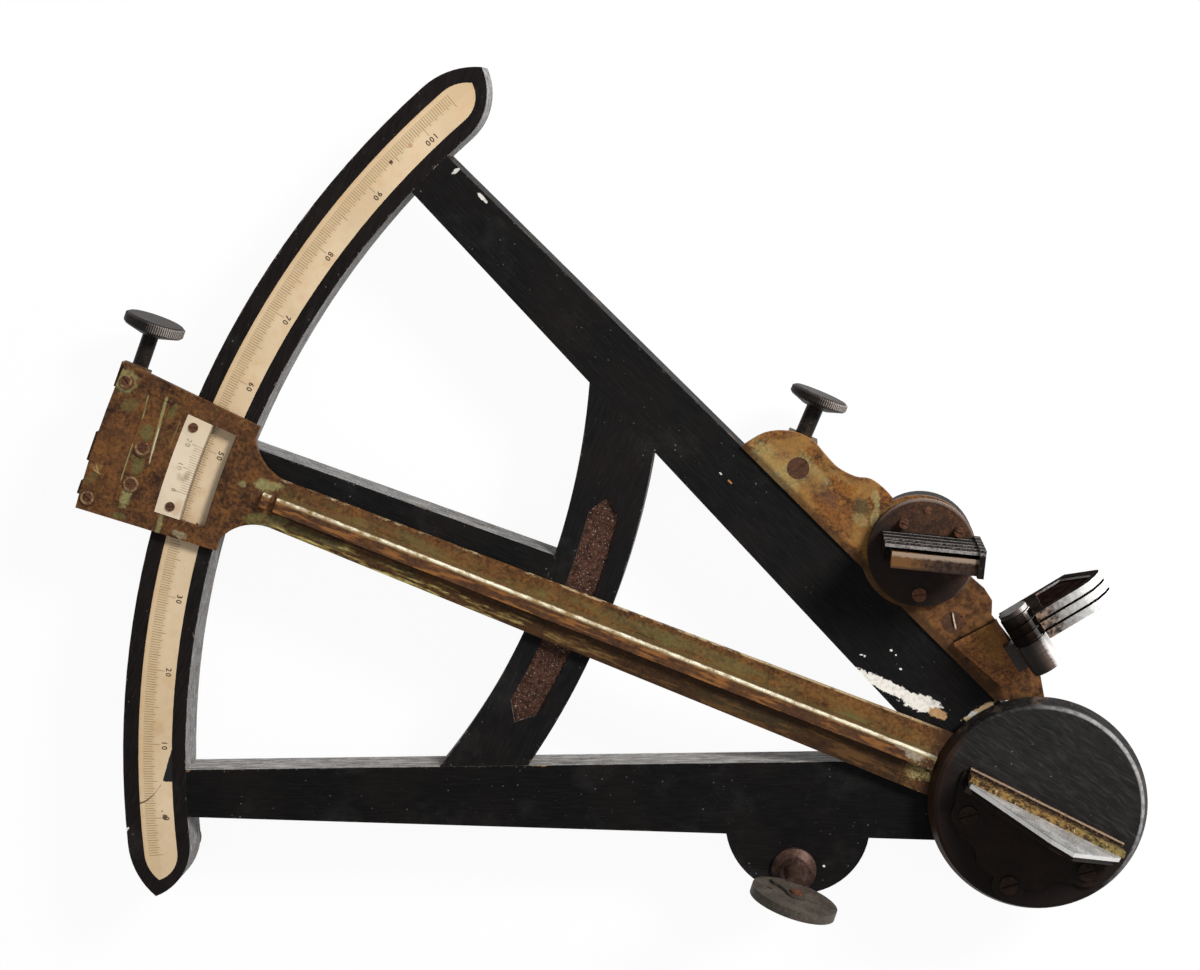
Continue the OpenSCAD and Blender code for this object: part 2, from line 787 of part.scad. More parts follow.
function shade_x(i) = -hinge_half + 0.8 + shade_pitch / 2 + i * shade_pitch;

// A shade's outline: straight sides, and a far end that comes to a blunt point towards the
// front, bowed on the front and flat behind
function shade_end() = let (tip = shade_half * 0.4, bow = shade_len - shade_square) [
    [shade_square - 1.7, -shade_half], [shade_len - 0.9, tip - 1.8], [shade_len - 0.2, tip],
    [shade_len - 0.06 * bow, tip + 0.2 * shade_half],
    [shade_len - 0.26 * bow, tip + 0.38 * shade_half],
    [shade_len - 0.6 * bow, tip + 0.54 * shade_half], [shade_square - 0.4, shade_half]
];

module shade_outline(inset = 0) {
    offset(delta = -inset) polygon(concat(
        [[shade_start, -shade_half]], shade_end(), [[shade_start, shade_half]]));
}

// The whole plate, whose low corner runs on under the barrel
module shade_plate() {
    polygon(concat([[-shade_foot, -shade_half]], shade_end(),
        [[shade_start, shade_half], [shade_start, -1.1], [-shade_foot, -1.1]]));
}

module shade_body(i) {
    color(steel) in_hinge() translate([shade_x(i), 0, 0]) rotate([90, 0, 90])
        difference() {
            union() {
                translate([0, 0, -shade_t / 2]) linear_extrude(shade_t) shade_plate();
                translate([0, -3, -shade_t / 2]) cube([6, 6, shade_t]);
                translate([0, 0, -shade_pitch / 2 + 0.1])
                    cylinder(r = barrel_r, h = shade_pitch - 0.2);
            }
            translate([0, 0, -5]) cylinder(r = pin_r + run_gap, h = 10);
            translate([0, 0, -5]) linear_extrude(10) shade_outline(shade_rim);
        }
}

module shade_pane(i, tint) {
    color(tint) in_hinge() translate([shade_x(i), 0, 0]) rotate([90, 0, 90])
        translate([0, 0, -0.5]) linear_extrude(1) shade_outline(shade_rim + fit_gap);
}

module shade_one() { shade_body(0); }
module shade_two() { shade_body(1); }
module shade_three() { shade_body(2); }
module shade_one_glass() { shade_pane(0, "#3a1414"); }
module shade_two_glass() { shade_pane(1, "#4a1a14"); }
module shade_three_glass() { shade_pane(2, "#16281a"); }

// Sight

module in_sight() {
    translate([sight_x, sight_y, sight_z]) rotate(sight_angle) children();
}

module sight_stem() {
    low = face_z;
    neck = sight_z - sight_r + 1;
    color(brass) translate([sight_x, sight_y, 0]) difference() {
        union() {
            rotate_extrude() polygon([
                [0, low], [6.3, low], [6.3, low + 1.2], [4.2, low + 2.4], [3, low + 4.4],
                [2.5, low + 8], [2.5, neck - 1.6], [3.2, neck - 1], [3.2, neck], [0, neck]
            ]);
            translate([0, 0, low - 5.5]) cylinder(r = 2, h = 6, $fn = 48);
        }
        translate([0, 0, sight_z]) rotate([90, 0, sight_angle])
            cylinder(r = sight_r + fit_gap, h = sight_t + 2 * fit_gap, center = true);
    }
}

module sight_disc() {
    color(steel) in_sight() rotate([90, 0, 0]) difference() {
        cylinder(r = sight_r, h = sight_t, center = true);
        cylinder(r = 1 + fit_gap, h = sight_t + 2, center = true, $fn = 32);
        translate([sight_hole_at, 0, 0])
            cylinder(r = sight_hole_r, h = sight_t + 2, center = true, $fn = 32);
    }
}

shutter_t = 0.7;
module sight_rivet() {
    color(brass) in_sight() rotate([90, 0, 0]) {
        translate([0, 0, -sight_t / 2 - 0.5])
            cylinder(r = 1, h = sight_t + shutter_t + 0.7, $fn = 32);
        translate([0, 0, sight_t / 2 + shutter_t + 0.2]) cylinder(r = 1.8, h = 0.6, $fn = 32);
        translate([0, 0, -sight_t / 2 - 0.6]) cylinder(r = 1.8, h = 0.6, $fn = 32);
    }
}

// Small tongue that swings over the sighting hole
module sight_shutter() {
    rest = -50;
    color(brass) in_sight() rotate([90, 0, 0]) translate([0, 0, sight_t / 2 + 0.1])
        rotate(rest) difference() {
            union() {
                cylinder(r = 2.6, h = shutter_t);
                translate([0, -1.8, 0]) cube([sight_hole_at, 3.6, shutter_t]);
                translate([sight_hole_at, 0, 0]) cylinder(r = 2.4, h = shutter_t);
            }
            translate([0, 0, -1]) cylinder(r = 1 + run_gap, h = 3, $fn = 32);
        }
}

// Index arm

module end_plate_outline() {
    intersection() {
        ring(plate_in, plate_out);
        wedge(-plate_half, plate_half);
    }
    // Hollow flare from the blade to the plate
    y1 = plate_in * sin(plate_half) - 0.2;
    difference() {
        translate([blade_end, -y1]) square([plate_in - blade_end + 1, 2 * y1]);
        for (side = [-1, 1]) translate([blade_end, side * (blade_w1 + flare_r)])
            circle(r = flare_r);
    }
}

module arm_outline() {
    polygon([
        [0, -blade_w0], [blade_end + 1, -blade_w1], [blade_end + 1, blade_w1], [0, blade_w0]
    ]);
    circle(r = disc_r - 3);
    end_plate_outline();
}

module window_outline(inner, outer, half) {
    intersection() {
        ring(inner, outer);
        wedge(-half, half);
    }
}

// Rib along the blade, with a gap and a small square end piece at the end plate
module rib() {
    cap = 2.2;
    rib_end = plate_in - 12.4;
    for (part = [[disc_r + 0.4, rib_end], [rib_end + 2, rib_end + 2 + cap]])
        translate([part[1], 0, arm_top - 0.01]) rotate([90, 0, -90])
            linear_extrude(part[1] - part[0]) polygon([
                [-rib_w / 2, 0], [-rib_w / 2, rib_h],
                [rib_w / 2, rib_h], [rib_w / 2 + rib_slope, 0]
            ]);
}

vernier_screw_places = [[window_out - 2.8, -2.63], [window_out - 4, 2.64]];
end_screw_places = [[plate_out - 2.7, -3.5], [plate_out - 2.7, 3.74]];
strip_screw_places = [[strip_screw_r, -0.15], [strip_screw_r, 2.1]];

module at_polar(places) {
    for (p = places) rotate(p[1]) translate([p[0], 0, 0]) children();
}

module index_arm() {
    color(brass) in_arm() difference() {
        union() {
            translate([0, 0, arm_z]) linear_extrude(arm_t) arm_outline();
            rib();
        }
        translate([0, 0, arm_z - 1]) cylinder(r = axle_r + fit_gap, h = arm_t + 2);
        translate([0, 0, arm_z - 1]) linear_extrude(arm_t + 2)
            window_outline(window_in, vernier_in, window_half);
        translate([0, 0, arm_z + ledge_t]) linear_extrude(arm_t)
            window_outline(vernier_in - 0.1, window_out, window_half);
        translate([0, 0, arm_top - strip_depth]) linear_extrude(arm_t)
            window_outline(strip_in - fit_gap, strip_out + fit_gap, strip_half + fit_gap);
        translate([0, 0, arm_z - 1]) {
            at_polar(vernier_screw_places) cylinder(r = 0.7 + fit_gap, h = 5, $fn = 32);
            at_polar(end_screw_places) cylinder(r = 1.2 + fit_gap, h = 5, $fn = 32);
            at_polar(strip_screw_places) cylinder(r = 1.2 + fit_gap, h = 5, $fn = 32);
        }
    }
}

strip_half = 3.4;
strip_depth = 0.6;

module slide_strip() {
    color(brass) in_arm() translate([0, 0, arm_top - strip_depth]) difference() {
        linear_extrude(strip_depth + strip_rise)
            window_outline(strip_in, strip_out, strip_half);
        translate([0, 0, -1]) at_polar(strip_screw_places)
            cylinder(r = 1.2 + fit_gap, h = 4, $fn = 32);
    }
}

module slide_strip_screws() {
    color(steel) in_arm() translate([0, 0, arm_top + strip_rise]) at_polar(strip_screw_places)
        slotted_screw(2.2, 0.5, 1.2, strip_rise + arm_t, 20);
}

module end_plate_screws() {
    color(steel) in_arm() translate([0, 0, arm_top]) at_polar(end_screw_places)
        slotted_screw(2, 0.5, 1.2, arm_t, -30);
}

module vernier() {
    color(ivory) in_arm() translate([0, 0, arm_z + ledge_t]) difference() {
        linear_extrude(arm_t - ledge_t)
            window_outline(vernier_in - 0.1 + fit_gap, window_out - fit_gap,
                window_half - fit_gap);
        translate([0, 0, -1]) at_polar(vernier_screw_places)
            cylinder(r = 0.7 + fit_gap, h = 5, $fn = 32);
    }
}

module vernier_screws() {
    color(steel) in_arm() translate([0, 0, arm_top]) at_polar(vernier_screw_places)
        slotted_screw(1.35, 0.35, 0.7, arm_t, 10);
}

module pivot_disc() {
    color(ebony) in_arm() difference() {
        translate([0, 0, arm_top]) rotate_extrude($fn = 180) polygon([
            [0, 0], [disc_r, 0], [disc_r, 0.8], [disc_top_r, disc_t - disc_bevel / 2],
            [disc_top_r - disc_bevel, disc_t], [0, disc_t]
        ]);
        translate([0, 0, arm_top - 1]) cylinder(r = axle_r + fit_gap, h = disc_t);
    }
}

module axle() {
    low = washer_top - washer_t - 7;
    color(steel) in_arm() {
        translate([0, 0, washer_top]) cylinder(r = axle_r, h = arm_top + disc_t - 1 - washer_top);
        translate([0, 0, low]) cylinder(r = axle_r - 1.5, h = washer_top - low + 0.01);
    }
}

module axle_washer() {
    color(brass) in_arm() translate([0, 0, washer_top - washer_t]) difference() {
        cylinder(r = 9, h = washer_t);
        translate([0, 0, -1]) cylinder(r = axle_r - 1.5 + fit_gap, h = washer_t + 2);
    }
}

module axle_nut() {
    nut_h = 4.5;
    color(steel) in_arm() translate([0, 0, washer_top - washer_t - nut_h]) difference() {
        cylinder(r = 8, h = nut_h, $fn = 6);
        translate([0, 0, -1]) cylinder(r = axle_r - 1.5 + fit_gap, h = nut_h + 2);
    }
}

// Index mirror

module in_mirror() {
    in_arm() translate([mirror_mid, 0, 0]) rotate(mirror_angle)
        translate([0, mirror_set, 0]) children();
}

mirror_screw_places = [[17, 9.3], [-1.1, 23.1], [-18.9, 10.9]];

// Base plate with a lobe at each screw and scallops between them
module mirror_base() {
    color(brass) translate([0, 0, disc_top]) difference() {
        linear_extrude(brass_t) difference() {
            union() {
                intersection() {
                    circle(r = 23);
                    rotate(arm_rest + mirror_angle) translate([-40, -0.3]) square([80, 40]);
                }
                for (p = mirror_screw_places) translate(p) circle(r = 4.6);
            }
            for (a = [55, 125]) rotate(a) translate([27, 0]) circle(r = 6);
            difference() {
                circle(r = 60);
                circle(r = disc_top_r - disc_bevel - 0.2);
            }
        }
        for (p = mirror_screw_places) translate([p[0], p[1], -1])
            cylinder(r = 1.2 + fit_gap, h = 4, $fn = 32);
    }
}

module mirror_base_screws() {
    color(brass) for (p = mirror_screw_places) translate([p[0], p[1], base_top])
        slotted_screw(2.6, 0.9, 1.2, brass_t, 40);
}

// The mirror's face outline: upright ends and clipped top corners
module mirror_outline() {
    half = mirror_len / 2 - 0.8;
    polygon([
        [-half, 0], [half, 0], [half, mirror_h * 0.265], [half - 22.5, mirror_h * 0.91],
        [half - 28.7, mirror_h], [-half, mirror_h * 0.284]
    ]);
}

module mirror_frame() {
    color(brass) in_mirror() {
        difference() {
            translate([-mirror_len / 2, -brass_t - mirror_t / 2, mirror_z])
                cube([mirror_len, 2 * brass_t + mirror_t, lip_h]);
            translate([-mirror_len / 2 - 1, -mirror_t / 2, mirror_z + brass_t])
                cube([mirror_len + 2, mirror_t, lip_h]);
        }
        translate([0, mirror_t / 2 + brass_t, mirror_z]) rotate([90, 0, 0])
            linear_extrude(brass_t - fit_gap) intersection() {
                offset(delta = -0.7) mirror_outline();
                translate([-mirror_len / 2, 0]) square([mirror_len, mirror_h - 2]);
            }
        // Foot ledge in front
        translate([-mirror_len / 2, -brass_t - mirror_t / 2 - 0.8, mirror_z - brass_t])
            cube([mirror_len, 0.8 + 0.01, brass_t + 1]);
        translate([-mirror_len / 2, -brass_t - mirror_t / 2, mirror_z - brass_t])
            cube([mirror_len, 0.8, brass_t + 0.01]);
    }
}

module mirror_glass() {
    color(silvered) in_mirror() translate([0, mirror_t / 2 - fit_gap, mirror_z])
        rotate([90, 0, 0]) linear_extrude(mirror_t - 2 * fit_gap) intersection() {
            mirror_outline();
            translate([-mirror_len, brass_t]) square([mirror_len * 2, mirror_h]);
        }
}

// Clamp and tangent screw

// Two blocks under the end plate that hold the tangent screw
module tangent_bearings() {
    low = tangent_z - bearing_len / 2 - 1;
    back = [bearing_back, 0];
    foot_t = 4;
    color(brass) in_arm() for (i = [0, 1])
        translate([tangent_x + bearing_past - bearing_len, bearing_ys[i] - bearing_w / 2, low])
        difference() {
            union() {
                translate([0, back[i], 0]) cube([bearing_len, bearing_w, arm_z - low]);
                translate([0, 0, arm_z - low - foot_t])
                    cube([bearing_len, bearing_w + back[i], foot_t]);
            }
            translate([bearing_len - bearing_past, back[i] - 1, tangent_z - low])
                rotate([-90, 0, 0]) cylinder(r = tangent_r + run_gap, h = bearing_w + 2);
        }
}

// Plate behind the limb, with the nut of the tangent screw standing up outside it
module clamp_shoe() {
    inside = 1.5;
    nut_len = bearing_len - 0.6;
    nut_end = tangent_x + bearing_past + 0.8;
    color(brass) in_arm() difference() {
        union() {
            translate([limb_in + inside, clamp_y - shoe_w / 2, shoe_z])
                cube([limb_w + 1, shoe_w, shoe_t]);
            translate([limb_out, nut_y - nut_w / 2, shoe_z])
                cube([nut_end - limb_out, nut_w, shoe_t]);
            translate([nut_end - nut_len, nut_y - nut_w / 2, shoe_z])
                cube([nut_len, nut_w, arm_z - air_gap - 1 - shoe_z]);
        }
        translate([tangent_x, nut_y - nut_w, tangent_z]) rotate([-90, 0, 0])
            cylinder(r = tangent_r + air_gap, h = nut_w * 2);
        translate([clamp_x, clamp_y, shoe_z - 1]) cylinder(r = clamp_r + run_gap, h = shoe_t + 2);
    }
}

module clamp_screw() {
    head_t = 4;
    gap = 2.4;
    low = shoe_z - gap - head_t;
    color(brass) in_arm() translate([clamp_x, clamp_y, low]) {
        translate([0, 0, head_t / 2]) milled_head(clamp_head_r, head_t);
        cylinder(r = clamp_r, h = back_z - air_gap - low);
    }
}

module tangent_screw() {
    y0 = tangent_head_y + tangent_head_t / 2 - 0.6;
    color(steel) in_arm() translate([tangent_x, y0, tangent_z]) rotate([-90, 0, 0]) {
        cylinder(r = tangent_r, h = bearing_ys[1] + bearing_w / 2 + collar_t + 0.1 - y0);
        translate([0, 0, 0.7]) cylinder(r = tangent_r + shoulder,
            h = bearing_ys[0] + bearing_back - bearing_w / 2 - 0.1 - y0 - 0.7);
        translate([0, 0, bearing_ys[1] + bearing_w / 2 + 0.1 - y0])
            cylinder(r = tangent_r + 1.1, h = collar_t);
    }
}

module tangent_head() {
    color(steel) in_arm() translate([tangent_x, tangent_head_y, tangent_z]) rotate([-90, 0, 0])
        difference() {
            milled_head(tangent_head_r, tangent_head_t);
            translate([0, 0, tangent_head_t / 2 - 0.6]) cylinder(r = tangent_r + fit_gap, h = 5);
        }
}

limb();
upper_leg();
lower_leg();
cross_brace();
centre_strut();
ivory_scale();
apex_foot();
limb_feet();
back_plate();
back_plate_screws();
bush();
horizon_plate();
horizon_plate_screws();
adjuster_bracket();
shade_block();
shade_bracket();
shade_pin();
sight_stem();
sight_disc();
sight_rivet();
sight_shutter();
index_arm();
pivot_disc();
axle();
axle_washer();
axle_nut();
mirror_base();
mirror_base_screws();
mirror_frame();
mirror_glass();
vernier();
vernier_screws();
slide_strip();
slide_strip_screws();
end_plate_screws();
tangent_bearings();
clamp_shoe();
clamp_screw();
tangent_screw();
tangent_head();
turret_base();
turret_stem();
turret_screws();
turret_lever();
horizon_frame();
horizon_glass();
adjusting_screw();
adjusting_head();
shade_one();
shade_one_glass();
shade_two();
shade_two_glass();
shade_three();
shade_three_glass();
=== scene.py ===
import json
import math
import bpy
import numpy as np
from mathutils import Matrix, Vector


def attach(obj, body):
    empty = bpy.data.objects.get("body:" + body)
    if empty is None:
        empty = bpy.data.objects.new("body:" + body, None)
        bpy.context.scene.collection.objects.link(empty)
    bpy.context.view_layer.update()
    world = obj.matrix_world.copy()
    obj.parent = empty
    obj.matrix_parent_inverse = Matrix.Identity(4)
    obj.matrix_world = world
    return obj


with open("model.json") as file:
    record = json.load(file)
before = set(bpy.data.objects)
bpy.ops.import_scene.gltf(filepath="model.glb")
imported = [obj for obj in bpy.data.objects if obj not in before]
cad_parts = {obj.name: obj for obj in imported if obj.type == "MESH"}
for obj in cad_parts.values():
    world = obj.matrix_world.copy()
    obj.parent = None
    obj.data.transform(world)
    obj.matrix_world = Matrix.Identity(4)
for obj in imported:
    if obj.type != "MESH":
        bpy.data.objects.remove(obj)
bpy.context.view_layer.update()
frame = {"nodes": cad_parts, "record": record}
mm = 0.001
print("frame loaded")

# Camera: a 69 mm lens on a 36 mm wide frame, leaning 9.5 degrees from straight above the face
cameraPose = {
    "place": (128.07, -138.4, 658.58),  # mm from the pivot at the rest plane
    "right": (-0.9216, -0.378, -0.0884),
    "down": (-0.3872, 0.9113, 0.1396),
    "lens": 69.0,
}


def addToScene(thing):
    bpy.context.scene.collection.objects.link(thing)


def buildCamera(pose):
    data = bpy.data.cameras.new("camera")
    data.lens = pose["lens"]
    data.sensor_width = 36
    data.clip_start = 0.01
    right = Vector(pose["right"]).normalized()
    up = -Vector(pose["down"])
    up = (up - right * up.dot(right)).normalized()
    back = right.cross(up)
    cam = bpy.data.objects.new("camera", data)
    addToScene(cam)
    turn = Matrix((right, up, back)).transposed().to_4x4()
    cam.matrix_world = Matrix.Translation(Vector(pose["place"]) * mm) @ turn
    bpy.context.scene.camera = cam


buildCamera(cameraPose)
imageRight = Vector(cameraPose["right"])
imageUp = -Vector(cameraPose["down"])

# Sizes of the instrument that the finishes and marks line up with, in mm and degrees
instrument = {
    "face": 28.0, "armTop": 31.0,  # heights of the frame's face and of the arm's blade
    "armTurn": 1.5,  # the index arm's angle at rest
    "mirrorTurn": -3.5,
    "limbIn": 241.7, "limbOut": 260,
    "brace": (354.6, 3), "braceIn": 205, "braceOut": 225,  # the cross brace's centre and its arcs
    "discEdge": 28.7,  # radius of the disc's top
    "bladeStart": 31, "bladeEnd": 228, "ribEnd": 240,  # along the arm
    "bladeHalf": 9.8, "bladeTaper": 2.8 / 228,
    "turret": (57.0, -52.1), "turretTurn": 17.3,
    "hinge": (22.4, -43.5), "hingeOut": (-0.574, -0.819),  # the shades' hinge and the way its leaves point
    "tangent": (279.95, 18.0, 8.75),  # axis of the tangent screw and its head's radius, in the arm's frame
    "adjuster": (99.0, 18.0, 8.3),  # the same for the adjusting screw
}
arm = instrument["armTurn"]
mirrorTurn = instrument["mirrorTurn"]
turretX, turretY = instrument["turret"]
hingeX, hingeY = instrument["hinge"]
outX, outY = instrument["hingeOut"]
discEdge = instrument["discEdge"]
face = instrument["face"]
armTop = instrument["armTop"]


def scaled(colour, share):
    return tuple(c * share for c in colour)


# Parts of a level vector along a direction and across it, to its left
def turned(x, y, degrees):
    a = math.radians(degrees)
    return x * math.cos(a) + y * math.sin(a), y * math.cos(a) - x * math.sin(a)


# Arithmetic on a socket adds Math nodes, so shader sums read as ordinary expressions
class Wire:
    def __init__(self, finish, socket):
        self.finish = finish
        self.socket = socket

    def sum(self, operation, *others):
        return self.finish.value(operation, self, *others)

    def __add__(self, other):
        return self.sum("ADD", other)

    def __radd__(self, other):
        return self.sum("ADD", other)

    def __sub__(self, other):
        return self.sum("SUBTRACT", other)

    def __rsub__(self, other):
        return self.finish.value("SUBTRACT", other, self)

    def __mul__(self, other):
        return self.sum("MULTIPLY", other)

    def __truediv__(self, other):
        return self.sum("DIVIDE", other)

    def __neg__(self):
        return self.sum("MULTIPLY", -1)

    def __abs__(self):
        return self.sum("ABSOLUTE")


class Finish:
    def __init__(self, name, turn=0):
        self.material = bpy.data.materials.new(name)
        self.material.use_nodes = True
        self.tree = self.material.node_tree
        self.shader = next(n for n in self.tree.nodes if n.type == "BSDF_PRINCIPLED")
        self.output = next(n for n in self.tree.nodes if n.type == "OUTPUT_MATERIAL")
        place = self.node("ShaderNodeTexCoord", out="Object")
        self.place = self.vector("SCALE", place, scale=1000)  # in mm
        self.x, self.y, self.z = self.parts(self.place)
        if turn:  # x along the turned piece, y across it
            self.x, self.y = turned(self.x, self.y, turn)
        self.edgeNoise = None

    # One call makes a node: its type, its settings, and the values or links of its sockets
    def node(self, kind, settings={}, inputs={}, out=0):
        n = self.tree.nodes.new(kind)
        for key, value in settings.items():
            setattr(n, key, value)
        for key, value in inputs.items():
            if isinstance(value, Wire):
                self.tree.links.new(value.socket, n.inputs[key])
            else:
                n.inputs[key].default_value = value
        return Wire(self, n.outputs[out])

    def value(self, operation, *terms):
        return self.node("ShaderNodeMath", {"operation": operation}, dict(enumerate(terms)))

    def vector(self, operation, a, b=None, scale=None):
        inputs = {0: a}
        if b is not None:
            inputs[1] = b
        if scale is not None:
            inputs["Scale"] = scale
        return self.node("ShaderNodeVectorMath", {"operation": operation}, inputs)

    def parts(self, vector):
        n = self.node("ShaderNodeSeparateXYZ", {}, {0: vector})
        return [Wire(self, n.socket.node.outputs[i]) for i in range(3)]

    def join(self, x, y, z):
        return self.node("ShaderNodeCombineXYZ", {}, {0: x, 1: y, 2: z})

    def noise(self, scale, detail=3, rough=0.55, at=None, offset=(0, 0, 0), distort=0):
        spot = self.place if at is None else at
        spot = self.vector("ADD", spot, offset)
        return self.node("ShaderNodeTexNoise", {}, {"Vector": spot, "Scale": scale, "Detail": detail,
                                                    "Roughness": rough, "Distortion": distort}, "Fac")

    # 0 at the first level and 1 at the second, which may be the lower one
    def ramp(self, wire, first, second):
        return self.node("ShaderNodeMapRange", {"clamp": True},
                         {"Value": wire, "From Min": first, "From Max": second}, "Result")

    def blend(self, amount, a, b, mode="MIX"):
        n = self.tree.nodes.new("ShaderNodeMix")
        n.data_type = "RGBA"
        n.blend_type = mode
        for key, value in ((0, amount), (6, a), (7, b)):
            if isinstance(value, Wire):
                self.tree.links.new(value.socket, n.inputs[key])
            else:
                n.inputs[key].default_value = (*value, 1) if isinstance(value, tuple) else value
        return Wire(self, n.outputs[2])

    def bump(self, height, strength, distance):
        return self.node("ShaderNodeBump", {}, {"Height": height, "Strength": strength,
                                                "Distance": distance * mm}, "Normal")

    def put(self, **sockets):
        names = {"colour": "Base Color", "rough": "Roughness", "metal": "Metallic", "normal": "Normal",
                 "specular": "Specular IOR Level"}
        for key, value in sockets.items():
            socket = self.shader.inputs[names[key]]
            if isinstance(value, Wire):
                self.tree.links.new(value.socket, socket)
            elif isinstance(value, tuple):
                socket.default_value = (*value, 1)
            else:
                socket.default_value = value
        return self.material

    # Signed distance in mm, in plan, from the line through a point at an angle
    def lineDistance(self, px, py, degrees):
        a = math.radians(degrees)
        return (self.x - px) * -math.sin(a) + (self.y - py) * math.cos(a)

    def radius(self, px=0, py=0):
        dx = self.x - px
        dy = self.y - py
        return self.value("SQRT", dx * dx + dy * dy)

    def angle(self):
        return self.value("ARCTAN2", self.y, self.x) * (180 / math.pi)

    def ragged(self):
        if self.edgeNoise is None:
            self.edgeNoise = self.noise(0.7, 5, 0.65, offset=(31, 17, 5)) - 0.5
        return self.edgeNoise

    # 1 within an uneven patch of the given half length and half width, fading at its rim
    def patch(self, px, py, halfLong, halfWide, degrees=0, uneven=0.9, soft=0.2):
        along, across = turned(self.x - px, self.y - py, degrees)
        u = along / halfLong
        v = across / halfWide
        reach = self.value("SQRT", u * u + v * v)
        return self.ramp(reach + self.ragged() * uneven * 2, 1 + soft, 1 - soft)

    # 1 on a thin line between two points, in plan
    def stroke(self, ax, ay, bx, by, width):
        half = math.hypot(bx - ax, by - ay) / 2
        degrees = math.degrees(math.atan2(by - ay, bx - ax))
        along, across = turned(self.x - (ax + bx) / 2, self.y - (ay + by) / 2, degrees)
        away = abs(across + self.ragged() * width * 0.8)
        return self.ramp(away, width * 0.65, width * 0.35) * self.ramp(abs(along), half + 0.4, half - 0.4)

    # Distance in cells to the nearest of a scatter of points
    def dots(self, scale, offset=(0, 0, 0)):
        return self.node("ShaderNodeTexVoronoi", {}, {"Vector": self.vector("ADD", self.place, offset),
                                                      "Scale": scale}, "Distance")

    def facing(self):
        return self.parts(self.node("ShaderNodeNewGeometry", out="Normal"))

    def upward(self):
        return self.ramp(self.facing()[2], 0.4, 0.7)

    # How squarely the surface faces along a level direction, either way
    def sideways(self, dx, dy):
        nx, ny, nz = self.facing()
        return abs(nx * dx + ny * dy)

    # Lines of a divided arc. Each kind has its step of reading, the radius where it fades out and its width
    def divisions(self, reading, perStep, kinds, fade):
        ink = 0
        for step, end, width in kinds:
            away = self.value("PINGPONG", reading, step / 2) * perStep
            line = self.ramp(away, width, width * 0.5) * self.ramp(self.radius(), end - fade, end + fade)
            ink = self.value("MAXIMUM", ink, line)
        return ink


paleChip = (0.74, 0.7, 0.64)  # chips with a plain number take that share of this colour


# Black wood: long fine grain, faint dust, pale arrises partly rubbed and partly painted highlight, and walls in
# painted light and shade
def ebonyFinish(name, look):
    f = Finish(name)
    along, across = turned(f.x, f.y, look["grain"])
    fibres = f.noise(2.4, 5, 0.62, at=f.join(along * 0.07, across, f.z))
    broad = f.noise(0.045, 3, 0.5, offset=(3, 2, 1))
    shade = look["tone"]
    colour = f.blend(f.ramp(fibres, 0.42, 0.72), shade, scaled(shade, 2.4))
    colour = f.blend(f.ramp(broad, 0.45, 0.75) * 0.35, colour, (0.015, 0.0105, 0.0085))
    top = f.upward()
    haze = f.noise(0.06, 5, 0.65, offset=(60, 5, 2))
    colour = f.blend(f.ramp(haze, 0.54, 0.75) * top * 0.1, colour, (0.1, 0.098, 0.095))
    dusty = f.ramp(haze, 0.38, 0.62)
    for size, place, strength in ((0.33, (0, 0, 0), 0.35), (0.75, (5, 7, 0), 0.2)):
        dots = f.dots(size, place)
        colour = f.blend(f.ramp(dots, 0.085, 0.05) * dusty * top * strength, colour, (0.36, 0.35, 0.33))
    # Walls: painted light and shade, grey on walls that face the light and near black on walls that don't, streaked
    # along the wood, with pale flecks
    streaks = f.noise(0.8, 5, 0.65, at=f.join(along * 0.2, across, f.z * 2), offset=(9, 4, 2))
    flecks = f.noise(1.9, 3, 0.6, offset=(6, 90, 4))
    paintedWallTone = look.get("paintedWall", (0.085, 0.08, 0.077))
    paintedWall = f.blend(f.ramp(streaks, 0.4, 0.62), scaled(paintedWallTone, 0.42), scaled(paintedWallTone, 1.7))
    paintedWall = f.blend(f.ramp(flecks, 0.6, 0.68) * look.get("flecks", 0.6), paintedWall, (0.72, 0.71, 0.69))
    paintedWall = f.blend(f.ramp(f.noise(0.22, 4, 0.6, offset=(8, 8, 8)), 0.56, 0.7) * 0.6, paintedWall, (0.13, 0.085, 0.06))
    colour = f.blend((1 - top) * 0.92, colour, paintedWall)
    # Arrises: pale lines, partly bare wood rubbed through and partly painted highlight where the edge catches the
    # light; the nearer the edge, the more of the fine noise shows
    chew = f.noise(0.9, 6, 0.7, offset=(5, 20, 7)) + f.noise(0.07, 2, 0.5, offset=(11, 4, 9)) * 0.35
    for edge in look["edges"](f):
        worn = f.ramp(chew - abs(edge) * 0.22, 0.7, 0.76) * top
        colour = f.blend(worn * look["wear"], colour, (0.21, 0.175, 0.145))
    for px, py, halfLong, halfWide, turn, tint in look.get("chips", ()):
        if isinstance(tint, float):
            tint = scaled(paleChip, tint)
        spot = f.patch(px, py, halfLong, halfWide, turn, 0.8, 0.08)
        fleck = f.noise(0.8, 5, 0.7, offset=(3, 3, 3))
        bare = f.blend(f.ramp(fleck, 0.3, 0.52), scaled(tint, 0.62), tint)
        colour = f.blend(spot * top, colour, bare)
    if "extra" in look:
        colour = look["extra"](f, colour, top)
    height = fibres * 0.5 + chew * 0.5
    rough = look.get("rough", 0.5) + f.ramp(broad, 0.3, 0.7) * 0.14
    return f.put(colour=colour, rough=rough, normal=f.bump(height, 0.3, 0.1), specular=0.07)


# Old glue and dust on the floor of the name plate's recess
def recessGlue(f, colour, top):
    floor = f.ramp(f.z, face - 0.4, face - 0.7) * top
    lump = f.noise(0.9, 6, 0.75, offset=(1, 2, 60))
    glue = f.blend(f.ramp(lump, 0.42, 0.6), (0.022, 0.01, 0.007), (0.08, 0.036, 0.023))
    spark = f.noise(2.2, 3, 0.7, offset=(50, 2, 60))
    glue = f.blend(f.ramp(spark, 0.64, 0.67) * 0.9, glue, (0.55, 0.5, 0.44))
    return f.blend(floor, colour, glue)
